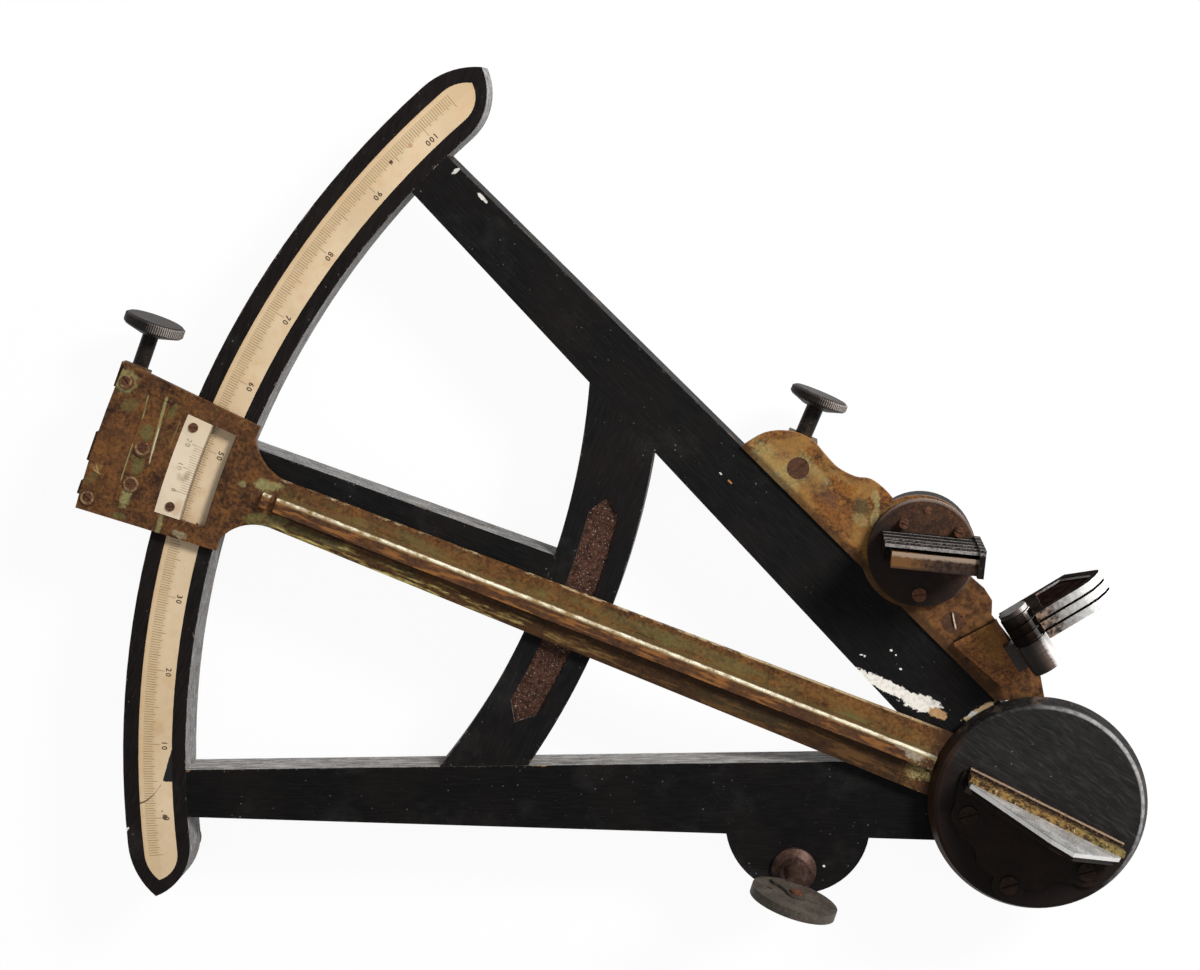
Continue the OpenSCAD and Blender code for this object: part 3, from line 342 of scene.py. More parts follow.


# Corroded brown on the disc's rim beside the arm, scuffs over the north half of its top, painted shadow over its
# south half, and a painted highlight on the bevel towards the light
def discWear(f, colour, top):
    r = f.radius()
    rim = f.ramp(r + f.ragged() * 1.2, discEdge - 2.3, discEdge - 1.1)
    toArm = f.ramp(f.angle(), -25, -5) * f.ramp(f.angle(), 80, 62)
    colour = f.blend(rim * toArm * 0.7, colour, (0.045, 0.021, 0.011))
    # Soft waves along the grain
    wave = f.noise(0.13, 2, 0.5, offset=(12, 5, 0)) * 4
    across = f.lineDistance(0, 0, -14) + wave
    scuffs = f.noise(1.1, 4, 0.65, at=f.join(f.x * 0.16, across, f.z), offset=(7, 7, 0))
    north = f.ramp(f.lineDistance(0, 0, -4), 2, -3)
    colour = f.blend((f.ramp(scuffs, 0.5, 0.72) * 0.45 + 0.04) * top * north, colour, (0.05, 0.047, 0.045))
    # Painted shadow: the south half of the top, where the mirror's shadow falls, darkened
    colour = f.blend((1 - north) * top * 0.8, colour, (0.0115, 0.0072, 0.0062))
    # Painted highlight: a broken pale line on the bevel, on the side towards the light
    bevel = f.ramp(r, discEdge - 1.1, discEdge - 0.6) * f.ramp(r, discEdge + 0.2, discEdge - 0.1)
    away = f.ramp(f.x * -0.68 + f.y * -0.73 + f.ragged() * 16, 6, 28)
    paintedHighlight = (f.ramp(f.noise(0.6, 5, 0.7, offset=(2, 70, 2)), 0.36, 0.54) * 0.6 + 0.4) * away
    return f.blend(bevel * paintedHighlight * 0.75, colour, (0.36, 0.35, 0.34))


# The outer arris fades on the ear of the sight
def lowerLegEdges(f):
    outer = abs(f.lineDistance(216, 100.7, 22))
    onEar = f.ramp(f.x, 92, 82) * 9
    return [f.lineDistance(222, 88, 24.4), f.value("MAXIMUM", outer, onEar)]


tan = (0.42, 0.25, 0.12)
# Each look's wall colour is painted light or shade for that piece's walls
ebonyLooks = {
    "limb": {"grain": 90, "tone": (0.0058, 0.0046, 0.0043), "wear": 0.5, "paintedWall": (0.17, 0.165, 0.16),
             "edges": lambda f: [f.radius() - instrument["limbIn"], f.radius() - instrument["limbOut"]],
             "chips": [(234.5, 113.2, 1.6, 0.5, 60, 0.9), (201.5, 136.0, 2.2, 0.5, 30, 0.4)]},
    "upper_leg": {"grain": -23, "tone": (0.0042, 0.004, 0.004), "wear": 0.12, "paintedWall": (0.0045, 0.0042, 0.004),
                  "flecks": 0.02,
                  "edges": lambda f: [f.lineDistance(222, -88, -24.4), f.lineDistance(216, -100.7, -22)],
                  "chips": [(49.5, -13.3, 11.5, 1.6, -3, 1.0), (40.0, -12.6, 5.5, 2.2, 8, 1.0),
                            (34.6, -11.8, 2.6, 1.5, 0, tan), (24.4, -17.0, 4.8, 1.0, 55, (0.5, 0.35, 0.2)),
                            (25.9, -15.3, 1.6, 0.6, 50, 0.8), (215.4, -99.2, 1.3, 0.5, 60, 0.8),
                            (205.8, -95.2, 1.8, 0.5, -24, 0.9),
                            (53.6, -23.1, 0.4, 0.35, 0, 1.0), (51.8, -22.4, 0.25, 0.25, 0, 0.9),
                            (49.0, -19.3, 0.4, 0.3, 0, 1.0), (60.7, -18.6, 0.5, 0.2, 20, 0.9),
                            (59.6, -18.7, 0.3, 0.3, 0, 0.8),
                            (113.0, -49.2, 0.9, 0.3, -22, (0.36, 0.15, 0.05)),
                            (116.2, -50.3, 0.5, 0.25, -22, 0.7)]},
    "lower_leg": {"grain": 23, "tone": (0.0034, 0.0031, 0.0031), "wear": 0.3, "paintedWall": (0.24, 0.23, 0.22),
                  "edges": lowerLegEdges,
                  "chips": [(131.0, 46.0, 5.0, 0.8, 24, tan), (226.5, 92.0, 1.0, 0.7, 60, tan),
                            (46.3, 41.4, 0.4, 0.35, 0, 0.9),
                            (223.6, 88.4, 1.3, 0.45, 62, (0.15, 0.085, 0.05))]},
    "cross_brace": {"grain": 90, "tone": (0.0046, 0.0043, 0.0043), "wear": 0.3, "extra": recessGlue,
                    "edges": lambda f: [f.radius(*instrument["brace"]) - instrument["braceIn"],
                                        f.radius(*instrument["brace"]) - instrument["braceOut"]]},
    "centre_strut": {"grain": 0, "tone": (0.0042, 0.004, 0.004), "wear": 0.3, "paintedWall": (0.14, 0.135, 0.13),
                     "edges": lambda f: [f.lineDistance(151, 11.2, -3.5), f.lineDistance(151, -11.2, 3.5)]},
    "pivot_disc": {"grain": -8, "tone": (0.0085, 0.0082, 0.008), "wear": 0.1, "rough": 0.42,
                   "paintedWall": (0.011, 0.01, 0.0095), "flecks": 0.03, "extra": discWear,
                   "edges": lambda f: [f.radius() - discEdge + 0.5]},
    "limb_feet": {"grain": 90, "tone": (0.01, 0.009, 0.009), "wear": 0, "edges": lambda f: []},
}
finishes = {name: ebonyFinish(name + "Ebony", look) for name, look in ebonyLooks.items()}
print("ebony ready")


# Ivory: warm clouds, darker towards the divisions, fine pores
def ivoryGround(f, low, high, stain, amount):
    broad = f.noise(0.035, 3, 0.5)
    cloud = f.noise(0.16, 4, 0.6, offset=(4, 9, 2))
    colour = f.blend(f.ramp(broad * 0.6 + cloud * 0.4, 0.38, 0.62), low, high)
    colour = f.blend(f.ramp(cloud, 0.48, 0.68) * amount, colour, stain)
    pores = f.noise(1.4, 5, 0.7, offset=(2, 2, 8))
    return f.blend(f.ramp(pores, 0.58, 0.75) * 0.25, colour, scaled(stain, 0.45))


# Reading r lies at the angle (50 - r) / 2 degrees; marks every 20 minutes, longer at 1, 5 and 10 degrees
def scaleFinish(look):
    f = Finish("ivoryScale")
    colour = ivoryGround(f, look["low"], look["high"], look["stain"], 0.5)
    r = f.radius()
    phi = f.angle()
    outer = look["outer"]
    band = f.ramp(r, outer - 3.8, outer - 2.6) * f.ramp(r, outer + 0.8, outer)
    colour = f.blend(band * 0.45, colour, look["band"])
    edge = f.ramp(r + f.ragged() * 1.6, outer + 0.2, outer + 1.4)
    colour = f.blend(edge * 0.55, colour, look["stain"])
    reading = 50 - phi * 2
    within = f.ramp(reading, -5.2, -5.1) * f.ramp(reading, 105.2, 105.1)
    worn = f.noise(0.35, 4, 0.6, offset=(30, 3, 3))
    ink = f.divisions(reading, look["perDegree"], look["marks"], 0.05)
    ink = ink * within * f.ramp(r, outer + 0.1, outer) * (f.ramp(worn, 0.3, 0.65) * 0.4 + 0.6)
    colour = f.blend(ink * 0.78, colour, look["ink"])
    # Crack: its angle runs as 22.7 + 2.2 u - 0.95 u squared, where u goes from 0 to 1 over its length outwards
    crackStart, crackLength = look["crack"]
    u = (r - crackStart) / crackLength
    away = abs((phi - (22.7 + u * 2.217 - u * u * 0.947)) * 4.36 + f.ragged() * 0.35)
    wide = f.ramp(u, 0.2, 0.8) * 0.13 + 0.05
    crack = f.ramp(away - wide, 0.1, 0) * f.ramp(u, -0.02, 0.02)
    colour = f.blend(crack * 0.9, colour, (0.035, 0.018, 0.01))
    # Missing corner: its edge rises from the ivory's inner edge, evenly with the angle
    inner, cornerStart, cornerTurn, cornerRise = look["corner"]
    lean = (phi - cornerStart) / cornerTurn
    gone = f.ramp(r + f.ragged() * 0.5 - inner - lean * cornerRise, 0.08, 0) * f.ramp(lean, 0, 0.01)
    gone = gone * f.ramp(lean + f.ragged() * 0.12, 1.01, 1.0)
    colour = f.blend(gone, colour, (0.008, 0.007, 0.007))
    for px, py, size, tint, amount in look["spots"]:
        colour = f.blend(f.patch(px, py, size, size) * amount, colour, tint)
    normal = f.bump(f.noise(1.2, 4, 0.6) * 0.4 - gone * 6 - crack * 3 - ink, 0.25, 0.12)
    return f.put(colour=colour, rough=0.42, normal=normal, specular=0.3)


scaleLook = {
    "low": (0.56, 0.415, 0.255), "high": (0.69, 0.54, 0.36), "stain": (0.5, 0.31, 0.145),
    "band": (0.5, 0.36, 0.19), "ink": (0.15, 0.085, 0.035),
    "outer": 254.0, "perDegree": 2.217,  # the divisions' outer ends, and mm there for a degree of reading
    "marks": [(1 / 3, 251.3, 0.13), (1, 250.7, 0.14), (5, 249.8, 0.14), (10, 249.0, 0.14)],
    "crack": (248.9, 6.5), "corner": (245.7, 20.3, 2.2, 2.7),
    "spots": [(225.2, 104.6, 0.75, (0.06, 0.03, 0.015), 0.9), (226.6, 103.4, 0.25, (0.06, 0.04, 0.02), 0.8),
              (232.9, -94.6, 0.55, (0.07, 0.02, 0.01), 0.95), (229.6, -100.9, 0.6, (0.35, 0.14, 0.06), 0.6),
              (217.4, -124.5, 3.0, (0.45, 0.24, 0.08), 0.5), (236.5, 81.0, 2.0, (0.42, 0.26, 0.1), 0.3)],
}


# The vernier's marks face the scale: 20 divisions, 4.43 mm to a degree of the arm
def vernierFinish(look):
    f = Finish("ivoryVernier", arm)
    colour = ivoryGround(f, look["low"], look["high"], look["stain"], 0.12)
    r = f.radius()
    phi = f.angle()
    division = (look["first"] - phi) / look["degrees"]
    within = f.ramp(division, -0.3, -0.2) * f.ramp(division, 20.3, 20.2)
    ink = f.divisions(division, look["degrees"] * 4.43, look["marks"], -0.05)
    worn = f.noise(0.5, 4, 0.6, offset=(30, 3, 3))
    colour = f.blend(ink * within * (f.ramp(worn, 0.35, 0.6) * 0.5 + 0.3), colour, look["ink"])
    seam = f.ramp(r + f.ragged() * 0.25, 252.6, 252.35)
    colour = f.blend(seam * 0.75, colour, (0.1, 0.055, 0.025))
    for spot, tint, amount in look["spots"]:
        colour = f.blend(f.patch(*spot) * amount, colour, tint)
    return f.put(colour=colour, rough=0.36, specular=0.35, normal=f.bump(f.noise(1.2, 4, 0.6), 0.15, 0.1))


vernierLook = {
    "low": (0.58, 0.46, 0.32), "high": (0.72, 0.61, 0.46), "stain": (0.5, 0.35, 0.18),
    "ink": (0.17, 0.11, 0.055),
    "first": 1.55, "degrees": 0.1585,  # angle of the first mark on the arm, and from one mark to the next
    "marks": [(1, 254.9, 0.12), (5, 255.4, 0.12), (10, 256.0, 0.14)],
    "spots": [((254.3, 2.1, 1.6, 0.8, 70, 1.3, 0.5), (0.25, 0.18, 0.085), 0.6),
              ((256.1, 2.9, 0.7, 1.0, 20, 1.3, 0.5), (0.33, 0.25, 0.13), 0.5),
              ((253.6, 11.6, 1.2, 2.2, 0, 0.8, 0.5), (0.45, 0.28, 0.15), 0.5)],
}
finishes["ivory_scale"] = scaleFinish(scaleLook)
finishes["vernier"] = vernierFinish(vernierLook)
print("ivory ready")


# Old brass: brown skin with soft darker clouds, orange bloom, pits and dull green corrosion in patches
def brassFinish(name, look, turn=0):
    f = Finish(name, turn)
    m = look.get("mottle", 1.0)
    broad = f.noise(0.07 * m, 3, 0.5, offset=(2, 40, 3))
    clouds = f.noise(0.28 * m, 5, 0.6, offset=(7, 3, 1), distort=0.3)
    fine = f.noise(1.1 * m, 5, 0.65, offset=(17, 3, 1))
    pits = f.noise(2.2 * m, 3, 0.6, offset=(1, 8, 4))
    mixed = broad * 0.25 + clouds * 0.4 + fine * 0.35
    near, far = look.get("soft", (0.43, 0.57))
    skin = f.ramp(mixed, near, far)
    colour = f.blend(skin, look["dark"], look["mid"])
    if "sweep" in look:  # the tone changes along the piece
        start, end, darker, lighter = look["sweep"]
        colour = f.blend(f.ramp(f.x + clouds * 30, start, end), colour, f.blend(skin, darker, lighter))
    bloom = f.noise(0.33 * m, 5, 0.62, offset=(20, 5, 3)) * 0.6 + fine * 0.4
    colour = f.blend(f.ramp(bloom, near + 0.06, far + 0.06) * look.get("bloom", 0.6), colour, look["warm"])
    green = f.noise(0.2 * m, 5, 0.68, offset=(3, 60, 9), distort=0.5)
    rust = f.ramp(green * 0.75 + fine * 0.25, 0.6, 0.66) * look.get("greenness", 0.3)
    colour = f.blend(rust, colour, look["green"])
    deep = f.ramp(pits * 0.6 + clouds * 0.4, 0.56, 0.64)
    colour = f.blend(deep * 0.6, colour, scaled(look["dark"], 0.35))
    relief = fine * 0.5 + pits * 0.3
    for px, py, halfLong, halfWide, degrees, tint, amount in look.get("patches", ()):
        spot = f.patch(px, py, halfLong, halfWide, degrees) * amount
        fleck = f.ramp(fine * 0.7 + pits * 0.3, 0.4, 0.62)
        colour = f.blend(spot, colour, f.blend(fleck, scaled(tint, 0.55), tint))
        relief = relief + spot * 0.25
    for ax, ay, bx, by, width, tint, amount in look.get("lines", ()):
        line = f.stroke(ax, ay, bx, by, width) * amount
        colour = f.blend(line, colour, tint)
    if "extra" in look:
        colour = look["extra"](f, colour)
    roughness = look.get("rough", 0.46) + f.ramp(fine, 0.3, 0.7) * 0.2 + rust * 0.2
    return f.put(colour=colour, rough=roughness, metal=look.get("metal", 0.25), specular=0.12,
                 normal=f.bump(relief, look.get("relief", 0.5), 0.16))


dullGreen = (0.17, 0.14, 0.048)
paleGreen = (0.33, 0.29, 0.12)
cream = (0.8, 0.72, 0.55)
darkBrown = (0.03, 0.016, 0.01)
orange = (0.34, 0.125, 0.03)


# The rib's slope carries a painted highlight, one bright line; painted shadow darkens the blade's side away from
# the light and the rib's south foot
def ribShine(f, colour):
    start = instrument["bladeStart"]
    end = instrument["bladeEnd"]
    ribEnd = instrument["ribEnd"]
    lifted = f.ramp(f.z, armTop + 0.02, armTop + 0.1) * f.ramp(f.x, ribEnd + 1, ribEnd)
    north = lifted * f.ramp(f.y, -1.15, -1.35)
    colour = f.blend(north * 0.7, colour, (0.075, 0.052, 0.018))
    # Painted highlight: the bright line on the rib's slope
    wander = f.y + f.ragged() * 0.35
    slope = lifted * f.ramp(wander, -1.35, -1.55) * f.ramp(wander, -2.35, -2.1)
    broken = f.noise(0.25, 4, 0.65, offset=(4, 4, 70)) + f.ramp(f.x, 230, 20) * 0.14
    shine = f.blend(f.ramp(broken, 0.42, 0.62), (0.26, 0.165, 0.065), (0.84, 0.78, 0.6))
    colour = f.blend(slope * 0.9, colour, shine)
    # The rib's top: dark purple-brown beside the end plate, with orange streaks
    ridge = lifted * f.ramp(f.y, -1.35, -1.15)
    streak = f.noise(0.5, 4, 0.65, at=f.join(f.x * 0.2, f.y * 1.6, f.z), offset=(40, 4, 70))
    colour = f.blend(ridge * 0.6, colour, (0.06, 0.028, 0.018))
    colour = f.blend(ridge * f.ramp(streak, 0.5, 0.6) * 0.75, colour, (0.3, 0.125, 0.035))
    under = (1 - lifted) * f.ramp(f.y + f.ragged() * 3, -7.2, -3.6) * f.ramp(f.y, -2.9, -3.1)
    moss = f.noise(0.3, 5, 0.7, at=f.join(f.x * 0.35, f.y, f.z), offset=(9, 4, 70))
    onBlade = f.ramp(f.x, end + 2, end) * f.ramp(f.x, start, start + 9)
    colour = f.blend(under * onBlade * f.ramp(moss, 0.4, 0.6) * 0.6, colour, (0.17, 0.12, 0.036))
    colour = f.blend(under * onBlade * f.ramp(moss, 0.52, 0.62) * 0.5, colour, (0.12, 0.12, 0.045))
    # Painted shadow: the blade's south half, beyond the rib, darkened
    southShadow = f.ramp(f.y + f.ragged() * 2.2, 2.0, 3.2) * onBlade * (1 - lifted)
    nearPlate = f.ramp(f.x, 120, 190)
    colour = f.blend(southShadow * (0.8 - nearPlate * 0.3), colour, (0.026, 0.014, 0.008))
    wisp = f.noise(0.6, 5, 0.65, at=f.join(f.x * 0.16, f.y, f.z), offset=(80, 4, 70))
    gold = f.ramp(wisp, 0.5, 0.58) * f.ramp(f.y, 3.2, 4.2) * onBlade * (1 - lifted)
    rusty = f.blend(nearPlate, (0.2, 0.095, 0.03), (0.3, 0.225, 0.065))
    colour = f.blend(gold * (nearPlate * 0.5 + 0.35), colour, rusty)
    colour = f.blend(gold * nearPlate * f.ramp(wisp, 0.57, 0.62), colour, (0.42, 0.38, 0.14))
    uneven = f.y + f.ragged() * 0.5
    crown = lifted * f.ramp(uneven, -1.7, -1.45) * f.ramp(uneven, -1.0, -1.3)
    colour = f.blend(crown * 0.7, colour, (0.3, 0.2, 0.085))
    # Painted shadow: a dark line along the rib's south foot
    footShadow = f.ramp(f.y, 1.7, 1.95) * f.ramp(f.y + f.ragged() * 0.8, 3.1, 2.5) * onBlade
    footShadow = footShadow * f.ramp(f.x, start, start + 2)
    colour = f.blend(footShadow * (1 - lifted) * 0.75, colour, (0.012, 0.007, 0.004))
    # Bright rubbed arris on the blade's upper edge
    half = instrument["bladeHalf"] - f.x * instrument["bladeTaper"]
    arris = f.ramp(-f.y - half, -0.42, -0.22) * onBlade
    rub = f.ramp(f.noise(0.3, 4, 0.6, offset=(5, 55, 7)) + f.ramp(f.x, 160, 30) * 0.2, 0.5, 0.62)
    colour = f.blend(arris * rub * 0.7, colour, (0.55, 0.42, 0.24))
    # Corrosion where the blade goes under the disc
    r = f.radius()
    collar = f.ramp(r + f.ragged() * 5, 34.0, 31.5)
    colour = f.blend(collar * 0.85, colour, (0.038, 0.018, 0.01))
    grit = f.noise(1.5, 5, 0.7, offset=(70, 14, 7))
    flaky = f.ramp(moss + grit, 1.02, 1.12) * f.ramp(r, 38, 35) * f.ramp(f.y, -7, 2)
    return f.blend(flaky * 0.8, colour, (0.34, 0.27, 0.11))


armLook = {
    "dark": (0.032, 0.016, 0.01), "mid": (0.135, 0.058, 0.023), "warm": (0.26, 0.108, 0.028),
    "green": dullGreen, "greenness": 0.5, "bloom": 0.55, "mottle": 0.85, "relief": 0.6, "extra": ribShine,
    "soft": (0.41, 0.58), "sweep": (220, 165, (0.034, 0.016, 0.008), (0.135, 0.06, 0.02)),
    "patches": [
        (268.9, -5.8, 1.8, 2.4, 0, dullGreen, 0.85), (268.3, 4.4, 1.6, 2.6, 0, dullGreen, 0.85),
        (268.6, 13.6, 1.4, 3.6, 0, paleGreen, 0.9), (279.7, -17.2, 3.6, 3.3, 0, paleGreen, 0.75),
        (276.0, -11.0, 2.6, 1.7, 30, dullGreen, 0.6), (279.0, 9.0, 1.6, 1.2, 0, (0.33, 0.2, 0.07), 0.6),
        (279.6, 12.4, 2.4, 1.2, 60, dullGreen, 0.5), (264.0, -13.6, 2.4, 1.0, 80, dullGreen, 0.7),
        (233.0, -3.6, 2.4, 1.7, 0, paleGreen, 0.9), (229.8, -4.6, 2.6, 1.2, 20, paleGreen, 0.8),
        (238.5, -2.0, 1.1, 0.9, 0, paleGreen, 0.7), (232.0, 6.0, 3.2, 1.6, 30, dullGreen, 0.9),
        (228.5, 7.4, 2.4, 1.1, 20, paleGreen, 0.7), (257.0, 17.6, 3.0, 0.8, 95, paleGreen, 0.7),
        (269.0, 19.8, 2.2, 0.9, 10, dullGreen, 0.7), (226.0, 4.2, 3.4, 1.3, 10, paleGreen, 0.75),
        (217.0, 4.6, 6.5, 1.1, 3, dullGreen, 0.85), (208.0, 4.9, 4.5, 0.9, 0, paleGreen, 0.55),
        (190.0, 4.6, 9.0, 0.9, 0, dullGreen, 0.4), (225.7, -0.6, 1.4, 0.7, 0, orange, 0.8),
        (209.9, -0.6, 1.0, 0.6, 0, orange, 0.8), (204.3, -0.3, 0.9, 0.5, 0, orange, 0.7),
        (199.4, -0.2, 1.3, 0.6, 0, orange, 0.8), (194.0, -0.2, 0.8, 0.5, 0, orange, 0.7),
        (36.5, -0.6, 2.6, 1.6, 0, cream, 0.95), (40.0, -1.5, 3.0, 0.9, 0, cream, 0.8),
        (60.0, -6.2, 18.0, 1.8, 0, (0.22, 0.1, 0.03), 0.6), (110.0, -5.4, 24.0, 1.6, 0, (0.15, 0.13, 0.05), 0.5),
        (84.0, 6.0, 16.0, 1.6, 0, (0.2, 0.19, 0.08), 0.4), (250.5, 18.4, 2.2, 1.0, 0, (0.42, 0.34, 0.22), 0.6)],
    "lines": [
        (271.9, -15.7, 271.3, -8.9, 0.4, paleGreen, 0.7), (266.8, -17.2, 265.6, -0.6, 0.8, paleGreen, 0.7),
        (266.0, -8.0, 265.4, 2.4, 0.3, cream, 0.6), (271.6, -1.3, 271.4, 9.8, 0.4, paleGreen, 0.65),
        (261.1, -12.4, 261.5, -3.8, 0.35, dullGreen, 0.7), (279.4, 8.4, 278.2, 10.2, 0.3, (0.5, 0.3, 0.12), 0.8),
        (279.6, 10.0, 277.6, 10.4, 0.3, (0.5, 0.3, 0.12), 0.8)],
}
mixedGold = {"dark": (0.06, 0.026, 0.012), "mid": (0.2, 0.085, 0.026), "warm": (0.34, 0.135, 0.026),
             "green": (0.2, 0.175, 0.075), "greenness": 0.35, "bloom": 0.6, "mottle": 1.1}


# The plate goes from greenish gold at its far tip to red-brown beside the shades
def plateSweep(f, colour):
    toDisc = f.ramp(f.x + f.ragged() * 20, 70, 42)
    skin = f.noise(0.12, 4, 0.6, offset=(5, 1, 3), distort=0.4)
    colour = f.blend(f.ramp(skin, 0.5, 0.6) * 0.55, colour, (0.32, 0.175, 0.05))
    blotch = f.noise(0.45, 5, 0.7, offset=(5, 11, 3))
    colour = f.blend(toDisc * 0.8, colour, f.blend(f.ramp(blotch, 0.4, 0.6), (0.026, 0.012, 0.008),
                                                   (0.15, 0.064, 0.024)))
    inner = f.lineDistance(57, -37.5, -22)
    gutter = f.ramp(inner + f.ragged() * 1.2, -1.4, -0.3)
    return f.blend(gutter * 0.7, colour, (0.045, 0.022, 0.01))


# The block's walls lie in its own shade
def darkWalls(f, colour):
    return f.blend(f.ramp(f.facing()[2], 0.97, 0.85) * 0.9, colour, (0.008, 0.005, 0.004))


horizonLook = dict(mixedGold, extra=plateSweep, patches=[
    (104.8, -58.4, 6.6, 3.6, -34, (0.34, 0.275, 0.115), 0.9), (98.4, -55.6, 4.5, 2.0, -26, (0.36, 0.28, 0.12), 0.8),
    (102.5, -62.0, 3.0, 1.6, 30, (0.13, 0.055, 0.04), 0.6), (97.2, -60.1, 4.6, 4.2, 0, (0.33, 0.25, 0.1), 0.7),
    (91.0, -60.4, 4.0, 1.4, -25, (0.36, 0.3, 0.14), 0.55),
    (89.0, -57.0, 6.0, 2.2, -25, (0.115, 0.06, 0.036), 0.6),
    (76.5, -56.0, 4.6, 2.2, -60, (0.1, 0.075, 0.035), 0.8), (74.5, -61.0, 2.8, 1.0, -60, (0.36, 0.29, 0.12), 0.8),
    (76.0, -53.4, 2.6, 1.4, -20, (0.33, 0.235, 0.09), 0.7), (72.6, -56.0, 1.0, 2.8, 10, (0.42, 0.34, 0.15), 0.6),
    (84.0, -52.0, 6.0, 1.8, -22, (0.25, 0.1, 0.028), 0.6), (82.0, -60.0, 4.0, 1.8, 0, (0.3, 0.12, 0.028), 0.7),
    (48.0, -41.5, 7.0, 1.8, -22, (0.15, 0.06, 0.025), 0.6), (38.0, -44.0, 4.0, 3.0, 0, (0.19, 0.082, 0.028), 0.6)])
blockLook = dict(mixedGold, greenness=0.1, dark=(0.095, 0.038, 0.019), mid=(0.27, 0.112, 0.042),
                 warm=(0.46, 0.2, 0.052), extra=darkWalls, patches=[(18.0, -34.0, 6.0, 1.2, -38, darkBrown, 0.7),
                                                     (30.0, -36.5, 7.0, 3.0, -38, (0.28, 0.135, 0.03), 0.6)])


# A thin pale rim round the turning base on the side towards the light, partly bare metal and partly painted
# highlight, and painted shade over the half beside the leg
def turretRim(f, colour):
    r = f.radius(turretX, turretY)
    dx = f.x - turretX
    dy = f.y - turretY
    north = f.ramp(dx * -0.35 - dy * 0.94, -3, 9)
    rim = f.ramp(r, 14.25, 14.5) * f.ramp(f.ragged(), -0.3, -0.1)
    # Painted shade: the half beside the leg, away from the light, darkened
    colour = f.blend((1 - north) * 0.85, colour, (0.01, 0.008, 0.008))
    # Painted highlight: the rim on the side towards the light
    return f.blend(rim * north * 0.45, colour, (0.3, 0.24, 0.2))


turretLook = {"dark": (0.034, 0.018, 0.012), "mid": (0.085, 0.04, 0.022), "warm": (0.14, 0.055, 0.022),
              "green": (0.16, 0.15, 0.1), "greenness": 0.2, "bloom": 0.5, "mottle": 1.1, "extra": turretRim}


# The mirror's seat: a lip with a golden corroded top, brown below, and a painted highlight as a bright line along
# its foot
def mirrorSeat(f, colour):
    front = f.ramp(f.y, 0.45, 0.35)
    up = f.ramp(f.z + f.ragged() * 4, 40.5, 44.5) * front
    gilt = f.noise(0.6, 5, 0.7, offset=(44, 3, 3))
    gold = f.blend(f.ramp(gilt, 0.46, 0.58), (0.035, 0.018, 0.009), (0.26, 0.155, 0.045))
    colour = f.blend(up * 0.9, colour, gold)
    speck = f.noise(1.2, 4, 0.7, offset=(14, 3, 3))
    colour = f.blend(front * f.ramp(speck, 0.55, 0.62) * 0.6, colour, (0.24, 0.125, 0.04))
    colour = f.blend(up * f.ramp(speck, 0.6, 0.66) * 0.8, colour, (0.5, 0.44, 0.24))
    moss = f.ramp(f.x + f.ragged() * 8, -8, -18) * up * f.ramp(gilt, 0.4, 0.52)
    colour = f.blend(moss * 0.6, colour, (0.17, 0.145, 0.05))
    # Painted highlight along the ledge's front edge
    line = f.ramp(f.y, -1.65, -1.75) * f.ramp(f.z, 37.2, 37.4)  # the ledge's front edge
    return f.blend(line * f.ramp(f.ragged(), -0.3, -0.05) * 0.8, colour, (0.36, 0.25, 0.17))


# Near black brass of the mirror's base, seat and screws: dark corrosion, and painted shade where the mirror's
# shadow falls
corrodedAndShadedLook = {"dark": (0.0065, 0.0046, 0.004), "mid": (0.015, 0.0088, 0.0064), "warm": (0.036, 0.016, 0.008),
            "green": (0.05, 0.035, 0.015), "greenness": 0.1, "bloom": 0.3, "metal": 0.1, "rough": 0.45,
            "mottle": 0.6}
stemLook = {"dark": (0.026, 0.015, 0.012), "mid": (0.074, 0.042, 0.032), "warm": (0.12, 0.056, 0.034),
            "green": (0.12, 0.1, 0.06), "greenness": 0.15, "bloom": 0.4, "metal": 0.4, "rough": 0.34}


# Pale rims round the heads at the given places, in part only: partly rubbed metal, partly painted highlight on the
# heads' rims
def wornRims(places):
    def wear(f, colour):
        nearest = 99
        for px, py, radius in places:
            nearest = f.value("MINIMUM", nearest, abs(f.radius(px, py) - radius))
        worn = f.ramp(nearest, 0.42, 0.22) * f.ramp(f.ragged(), -0.12, 0.04)
        return f.blend(worn * 0.75, colour, (0.34, 0.22, 0.11))
    return wear


# A slot across the screw beside the shades: the head darkened a little, painted shade in the slot and a painted
# highlight along its one lit edge
def slotLine(f, colour):
    colour = f.blend(0.45, colour, (0.05, 0.024, 0.015))
    colour = f.blend(f.stroke(42.9, -39.6, 40.4, -36.0, 0.7), colour, (0.006, 0.004, 0.003))
    return f.blend(f.stroke(42.3, -39.5, 39.8, -35.9, 0.38) * 0.9, colour, (0.62, 0.5, 0.34))


